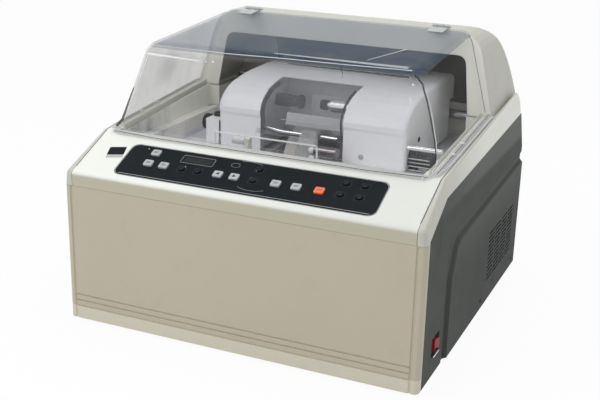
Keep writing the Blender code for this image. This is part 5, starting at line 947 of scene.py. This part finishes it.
def guard_and_jets():
    """Painted highlights along the edges of the guard against splashes, the small shield behind it and the
    two water jets.
    """
    for name, start, end, radius in GUARD_LINES:
        bar = strip(line((start, end), 4), radius, 8, 1, (0, 1, 0))
        piece(name, bar, "cabinet", "clear_acrylic", "acrylic_gleam")
    upright = Matrix.Translation((0, SHIELD_Y, 0)) @ Matrix.Rotation(math.pi / 2, 4, "X")
    shield = placed(plate(SHIELD, -0.0006, 0.0008, 0.0004), upright)
    piece("spray_shield", shield, "cabinet", "clear_acrylic", "haze_and_painted_reflection")
    for number, z in enumerate(JET_HEIGHTS, 1):
        turn = Matrix.Translation((*JET_PLACE, z)) @ Matrix.Rotation(-math.pi / 2, 4, "Y")
        piece(f"spray_jet_{number}", placed(turned(JET, SMALL_SIDES), turn), "cabinet", "white_knob")


# Head

DOOR_CENTRE = (0, LENS_AXIS[1], LENS_AXIS[2] - 0.008)
DOOR_BANDS = (("door_band_left", -0.065, 0.003), ("door_band_right", 0.065, 0.0036))
DOOR_LOW = -26
DOOR_HIGH = 100
DOOR_TRIMS = (("left", -0.069, 0.001), ("right", 0.033, 0.06))
TRIM_DROP = (0, 0, -0.0036)
# Black bars of painted shadow sit this far below the door's trims.
SHADOW_BAR_DROP = (0, 0.0016, -0.0068)
GLEAM_ANGLE = -10
GLEAM_PLACES = (-0.0354, 0, 0.0501)
SEAM_PLACES = ((0.019, 0.075), (0.008, 0.105), (-0.004, 0.13), (-0.0155, 0.159))
# A painted highlight over the head cover.
COVER_GLEAM = ((-0.06, 0, 0.05, 0.1), 0.047, 0.35)
COVER_PLUG = ((0.0042, -0.0002), (0.0042, 0.0006), (0.0036, 0.0011), (0, 0.0012))
END_PLUG = ((0.0042, -0.0002), (0.0042, 0.0007), (0.0034, 0.0012), (0, 0.0013))
GROMMET = ((0.0085, -0.0006), (0.0085, 0.003), (0.006, 0.0062), (0.003, 0.007), (0, 0.0071))
BOOT = (
    (0.0074, -0.0665), (0.01, -0.0665), (0.0108, -0.056),
    (0.01, -0.046), (0.0086, -0.0352), (0.0074, -0.0352),
)
COUPLING = (
    (0, 0), (0.0105, 0), (0.013, 0.002), (0.013, 0.011), (0.0112, 0.013),
    (0.0112, 0.017), (0.013, 0.019), (0.013, 0.03), (0, 0.03),
)
COUPLING_PLACE = (-0.199, 0.014, 0.261)
TIE_RODS = ((-0.0305, 0.26), (-0.029, 0.254), (-0.0285, 0.248), (-0.029, 0.242))
TIE_ROD_ENDS = (0.1715, 0.2055)
BACK_PLATE_PLACE = (0.016, 0.068, 0.2835)


def door_line(x, start, end, count, inset):
    """Points along the inside of the door at one width, by angle about the lens axis."""
    points = []
    for step in range(count):
        angle = math.radians(start + (end - start) * step / (count - 1))
        way = Vector((0, -math.cos(angle), math.sin(angle)))
        place = struck("chamber_door", (x, *DOOR_CENTRE[1:]), way).translation
        points.append(place - way * inset)
    return points


def along_x(x, y, z):
    """A frame whose Z runs along the X axis."""
    return Matrix.Translation((x, y, z)) @ Matrix.Rotation(math.pi / 2, 4, "Y")


def door_fittings():
    """Bands of painted shade down the door's sides, chrome trims at its foot with black bars of painted
    shadow below them, and a painted highlight across it.
    """
    for name, x, width in DOOR_BANDS:
        # Painted shade in bands down the door's sides.
        band = strip(door_line(x, DOOR_LOW, DOOR_HIGH, 26, 0.0007), width, 8, 0.16, (1, 0, 0))
        piece(name, band, "door", "clear_acrylic", "door_edge_shade")
    for name, start, end in DOOR_TRIMS:
        low = [door_line(x, DOOR_LOW, DOOR_LOW, 2, 0.0)[0] for x in (start, (start + end) / 2, end)]
        trim = [point + Vector(TRIM_DROP) for point in low]
        piece(f"door_trim_{name}", strip(trim, 0.0029, 10), "door", "bright_chrome")
        # Painted shadow: a black bar below each trim.
        shadow_bar = [point + Vector(SHADOW_BAR_DROP) for point in low]
        piece(f"door_shadow_bar_{name}", strip(shadow_bar, 0.0024, 8), "door", "black_rubber")
    # Painted highlight across the door.
    low = [door_line(x, GLEAM_ANGLE, GLEAM_ANGLE, 2, 0.0)[0] for x in GLEAM_PLACES]
    piece("door_gleam", strip(low, 0.0007, 8), "door", "clear_acrylic", "acrylic_gleam")


def cover_fittings():
    """Seam and a painted highlight over the head cover, its two plugs and the grommet on its side box."""
    seam = [struck("head_cover", (x, y, 0.4), (0, 0, -1)).translation for x, y in SEAM_PLACES]
    piece("cover_seam", strip(seam, 0.0005, 6, 0.3), "head", "dark_plated_metal")
    plug = placed(turned(COVER_PLUG, SMALL_SIDES), struck("head_cover", (0.1, -0.1, 0.2545), (0, 1, 0)))
    piece("cover_plug", plug, "head", "grey_keys")
    cap = placed(turned(END_PLUG, SMALL_SIDES), struck("head_cover", (0.25, 0.0233, 0.2759), (-1, 0, 0)))
    piece("end_plug", cap, "head", "black_rubber")
    seat = struck("head_cover", (-0.159, -0.012, 0.34), (0, 0, -1))
    piece("box_grommet", placed(turned(GROMMET, SMALL_SIDES), seat), "head", "black_rubber")
    # Painted highlight along the cover's bend above the door.
    xs, y, z = COVER_GLEAM
    gleam = skin_points("head_cover", [(x, y, z) for x in xs], 0.0002)
    piece("cover_gleam", strip(line(gleam, 4), 0.0011, 8, 0.4), "head", "white_knob")


def shaft_fittings():
    """Boot on the left lens shaft, swing coupling, tie rods of the clamp motor, and a near-white chamber
    back plate as painted light in the shaded chamber.
    """
    piece("shaft_boot", placed(turned(BOOT), along_x(*LENS_AXIS)), "left_lens_shaft", "black_rubber")
    coupling = placed(turned(COUPLING), along_x(*COUPLING_PLACE))
    piece("swing_coupling", coupling, "head", "black_rubber")
    rods = []
    for y, z in TIE_RODS:
        ends = [(x, y, z) for x in TIE_ROD_ENDS]
        rods.append(strip(line(ends, 3), 0.0012, 8))
    piece("motor_tie_rods", together(rods), "head", "zinc_sheet")
    # A near-white back plate: painted light in the chamber the door shades.
    sheet = plate(corner_arcs(0.09, 0.064, 0.003, 3), 0, 0.0012, 0.0003)
    stand = Matrix.Translation(BACK_PLATE_PLACE) @ Matrix.Rotation(math.pi / 2, 4, "X")
    piece("chamber_back_plate", placed(sheet, stand), "head", "white_knob")


# Cabinet

OUTSIDE = 0.34
BEHIND = 0.4
SIDE_SCREWS = ((-0.16, 0.02), (0.04, 0.02), (0.245, 0.02))
REAR_SCREWS = (
    (-0.262, 0.02), (0.262, 0.02), (-0.262, 0.15), (0.262, 0.15),
    (0, 0.02), (0, 0.24), (-0.22, 0.265), (0.22, 0.265),
)
DECK_EDGE_HALF = 0.2655
DECK_EDGE = ((-0.259, 0.248), (-0.176, 0.2835), (0.098, 0.306))
SWITCH_Y = -0.199
SWITCH_Z = 0.051
ROCKER_HALF = 0.0073
ROCKER = (
    (0.278, -0.0103), (0.278, 0.0103), (0.2826, 0.0103), (0.2822, 0.008),
    (0.2796, 0), (0.2822, -0.008), (0.2826, -0.0103),
)
LIP_X = 0.2822
LIP_Z = 0.0375
LIP_ENDS = (-0.015, 0.01)


def cabinet_screws():
    """Painted screws in the side covers, plain ones in the rear panel."""
    for side, way in SIDES:
        for number, (y, z) in enumerate(SIDE_SCREWS, 1):
            seat = struck(f"side_cover_{side}", (way * OUTSIDE, y, z), (-way, 0, 0))
            painted = placed(screw(0.003, 0.0012), seat)
            piece(f"side_screw_{side}_{number}", painted, "cabinet", "charcoal_moulding")
    for number, (x, z) in enumerate(REAR_SCREWS, 1):
        seat = struck("rear_panel", (x, BEHIND, z), (0, -1, 0))
        piece(f"rear_screw_{number}", placed(screw(0.0034, 0.0015), seat), "cabinet", "brushed_steel")


def deck_seams():
    """Dark seams between the deck and the side rails."""
    for side, way in SIDES:
        edge = line([(way * DECK_EDGE_HALF, y, z) for y, z in DECK_EDGE], 6)
        seam = strip(skin_points("deck_cover", edge, -0.0002), 0.0007, 6, 0.5)
        piece(f"deck_seam_{side}", seam, "cabinet", "black_panel", "panel_print")


def switch():
    """The rocker's red cap, and the bright lip of its pocket."""
    outline = [(x, SWITCH_Y + y) for x, y in ROCKER]
    cap = plate(outline, SWITCH_Z - ROCKER_HALF, SWITCH_Z + ROCKER_HALF, 0.0004)
    piece("rocker_cap", cap, "rocker", "red_rocker")
    lip = strip(line([(LIP_X, SWITCH_Y + y, LIP_Z) for y in LIP_ENDS], 3), 0.0009, 8)
    piece("switch_lip", lip, "cabinet", "bright_chrome")


panel_lines()
panel_white_domes()
key_marks()
panel_curves()
blank_plate()
hood_lines()
hood_stops()
hinge_screws()
bay_rim()
bay_drain()
guard_and_jets()
door_fittings()
cover_fittings()
shaft_fittings()
cabinet_screws()
deck_seams()
switch()


# Studio

FLOOR_REACH = 8.0
FLOOR_GLOW = 0.94
ROOM_COLOUR = (0.97, 0.985, 1.0, 1)
ROOM_STRENGTH = 0.62
LAMP_TARGET = (0, 0, 0.25)
LAMPS = (
    ("key_lamp", (-0.9, -1.3, 1.9), (1.2, 1.2), 17),
    ("top_lamp", (0.2, 0.3, 2.0), (1.4, 1.0), 9),
)


def soft_lamp(name, place, size, watts):
    """A large lamp aimed at the middle of the machine, itself unseen."""
    lamp = bpy.data.lights.new(name, "AREA")
    lamp.shape = "RECTANGLE"
    lamp.size, lamp.size_y = size
    lamp.energy = watts
    holder = bpy.data.objects.new(name, lamp)
    bpy.context.scene.collection.objects.link(holder)
    holder.location = place
    holder.rotation_euler = (Vector(LAMP_TARGET) - Vector(place)).to_track_quat("-Z", "Y").to_euler()
    holder.visible_camera = False


def background_rays(tree):
    """1 for rays from the camera, mirrors and glass, which see plain white."""
    path = tree.nodes.new("ShaderNodeLightPath")
    total = path.outputs["Is Camera Ray"]
    for name in ("Is Glossy Ray", "Is Transmission Ray"):
        larger = tree.nodes.new("ShaderNodeMath")
        larger.operation = "MAXIMUM"
        tree.links.new(total, larger.inputs[0])
        tree.links.new(path.outputs[name], larger.inputs[1])
        total = larger.outputs[0]
    return total


def make_studio():
    """A pale floor, a white backdrop and soft lamps."""
    floor_mesh = bpy.data.meshes.new("studio_floor")
    corners = [(x * FLOOR_REACH, y * FLOOR_REACH, 0) for x, y in ((-1, -1), (1, -1), (1, 1), (-1, 1))]
    floor_mesh.from_pydata(corners, [], [(0, 1, 2, 3)])
    floor = bpy.data.objects.new("studio_floor", floor_mesh)
    bpy.context.scene.collection.objects.link(floor)
    finish = Finish("studio_floor", (0.88, 0.88, 0.88), 0.9)
    glow = finish.add("ShaderNodeEmission", sockets={"Color": (1, 1, 1, 1), "Strength": 1.0})
    rays = Reading(finish, background_rays(finish.tree))
    shown = finish.add(
        "ShaderNodeMixShader",
        sockets={0: rays * FLOOR_GLOW, 1: Reading(finish, finish.shader.outputs[0]), 2: glow},
    )
    finish.feed(finish.tree.nodes["Material Output"].inputs["Surface"], shown)
    floor_mesh.materials.append(finish.material)
    world = bpy.data.worlds.new("studio")
    world.use_nodes = True
    bpy.context.scene.world = world
    tree = world.node_tree
    room = tree.nodes["Background"]
    room.inputs["Color"].default_value = ROOM_COLOUR
    room.inputs["Strength"].default_value = ROOM_STRENGTH
    white = tree.nodes.new("ShaderNodeBackground")
    white.inputs["Color"].default_value = (1, 1, 1, 1)
    white.inputs["Strength"].default_value = 1.0
    both = tree.nodes.new("ShaderNodeMixShader")
    tree.links.new(background_rays(tree), both.inputs[0])
    tree.links.new(room.outputs[0], both.inputs[1])
    tree.links.new(white.outputs[0], both.inputs[2])
    tree.links.new(both.outputs[0], tree.nodes["World Output"].inputs["Surface"])
    for name, place, size, watts in LAMPS:
        soft_lamp(name, place, size, watts)


make_studio()


CAMERA_PLACE = (0.6317, -1.4878, 0.712)
CAMERA_RIGHT = (0.91324, 0.40676, 0.0231)
CAMERA_UP = (-0.15221, 0.28805, 0.94544)
CAMERA_BACK = (0.37791, -0.86694, 0.32497)
SENSOR_WIDTH = 36
FOCAL_LENGTH = 63.31


def make_camera():
    """The photograph's view: a long lens from the front right, a little above."""
    data = bpy.data.cameras.new("camera")
    data.sensor_width = SENSOR_WIDTH
    data.lens = FOCAL_LENGTH
    camera = bpy.data.objects.new("camera", data)
    bpy.context.scene.collection.objects.link(camera)
    turn = Matrix((CAMERA_RIGHT, CAMERA_UP, CAMERA_BACK)).transposed().to_4x4()
    camera.matrix_world = Matrix.Translation(CAMERA_PLACE) @ turn
    bpy.context.scene.camera = camera


make_camera()
bpy.context.scene.view_settings.view_transform = "Standard"
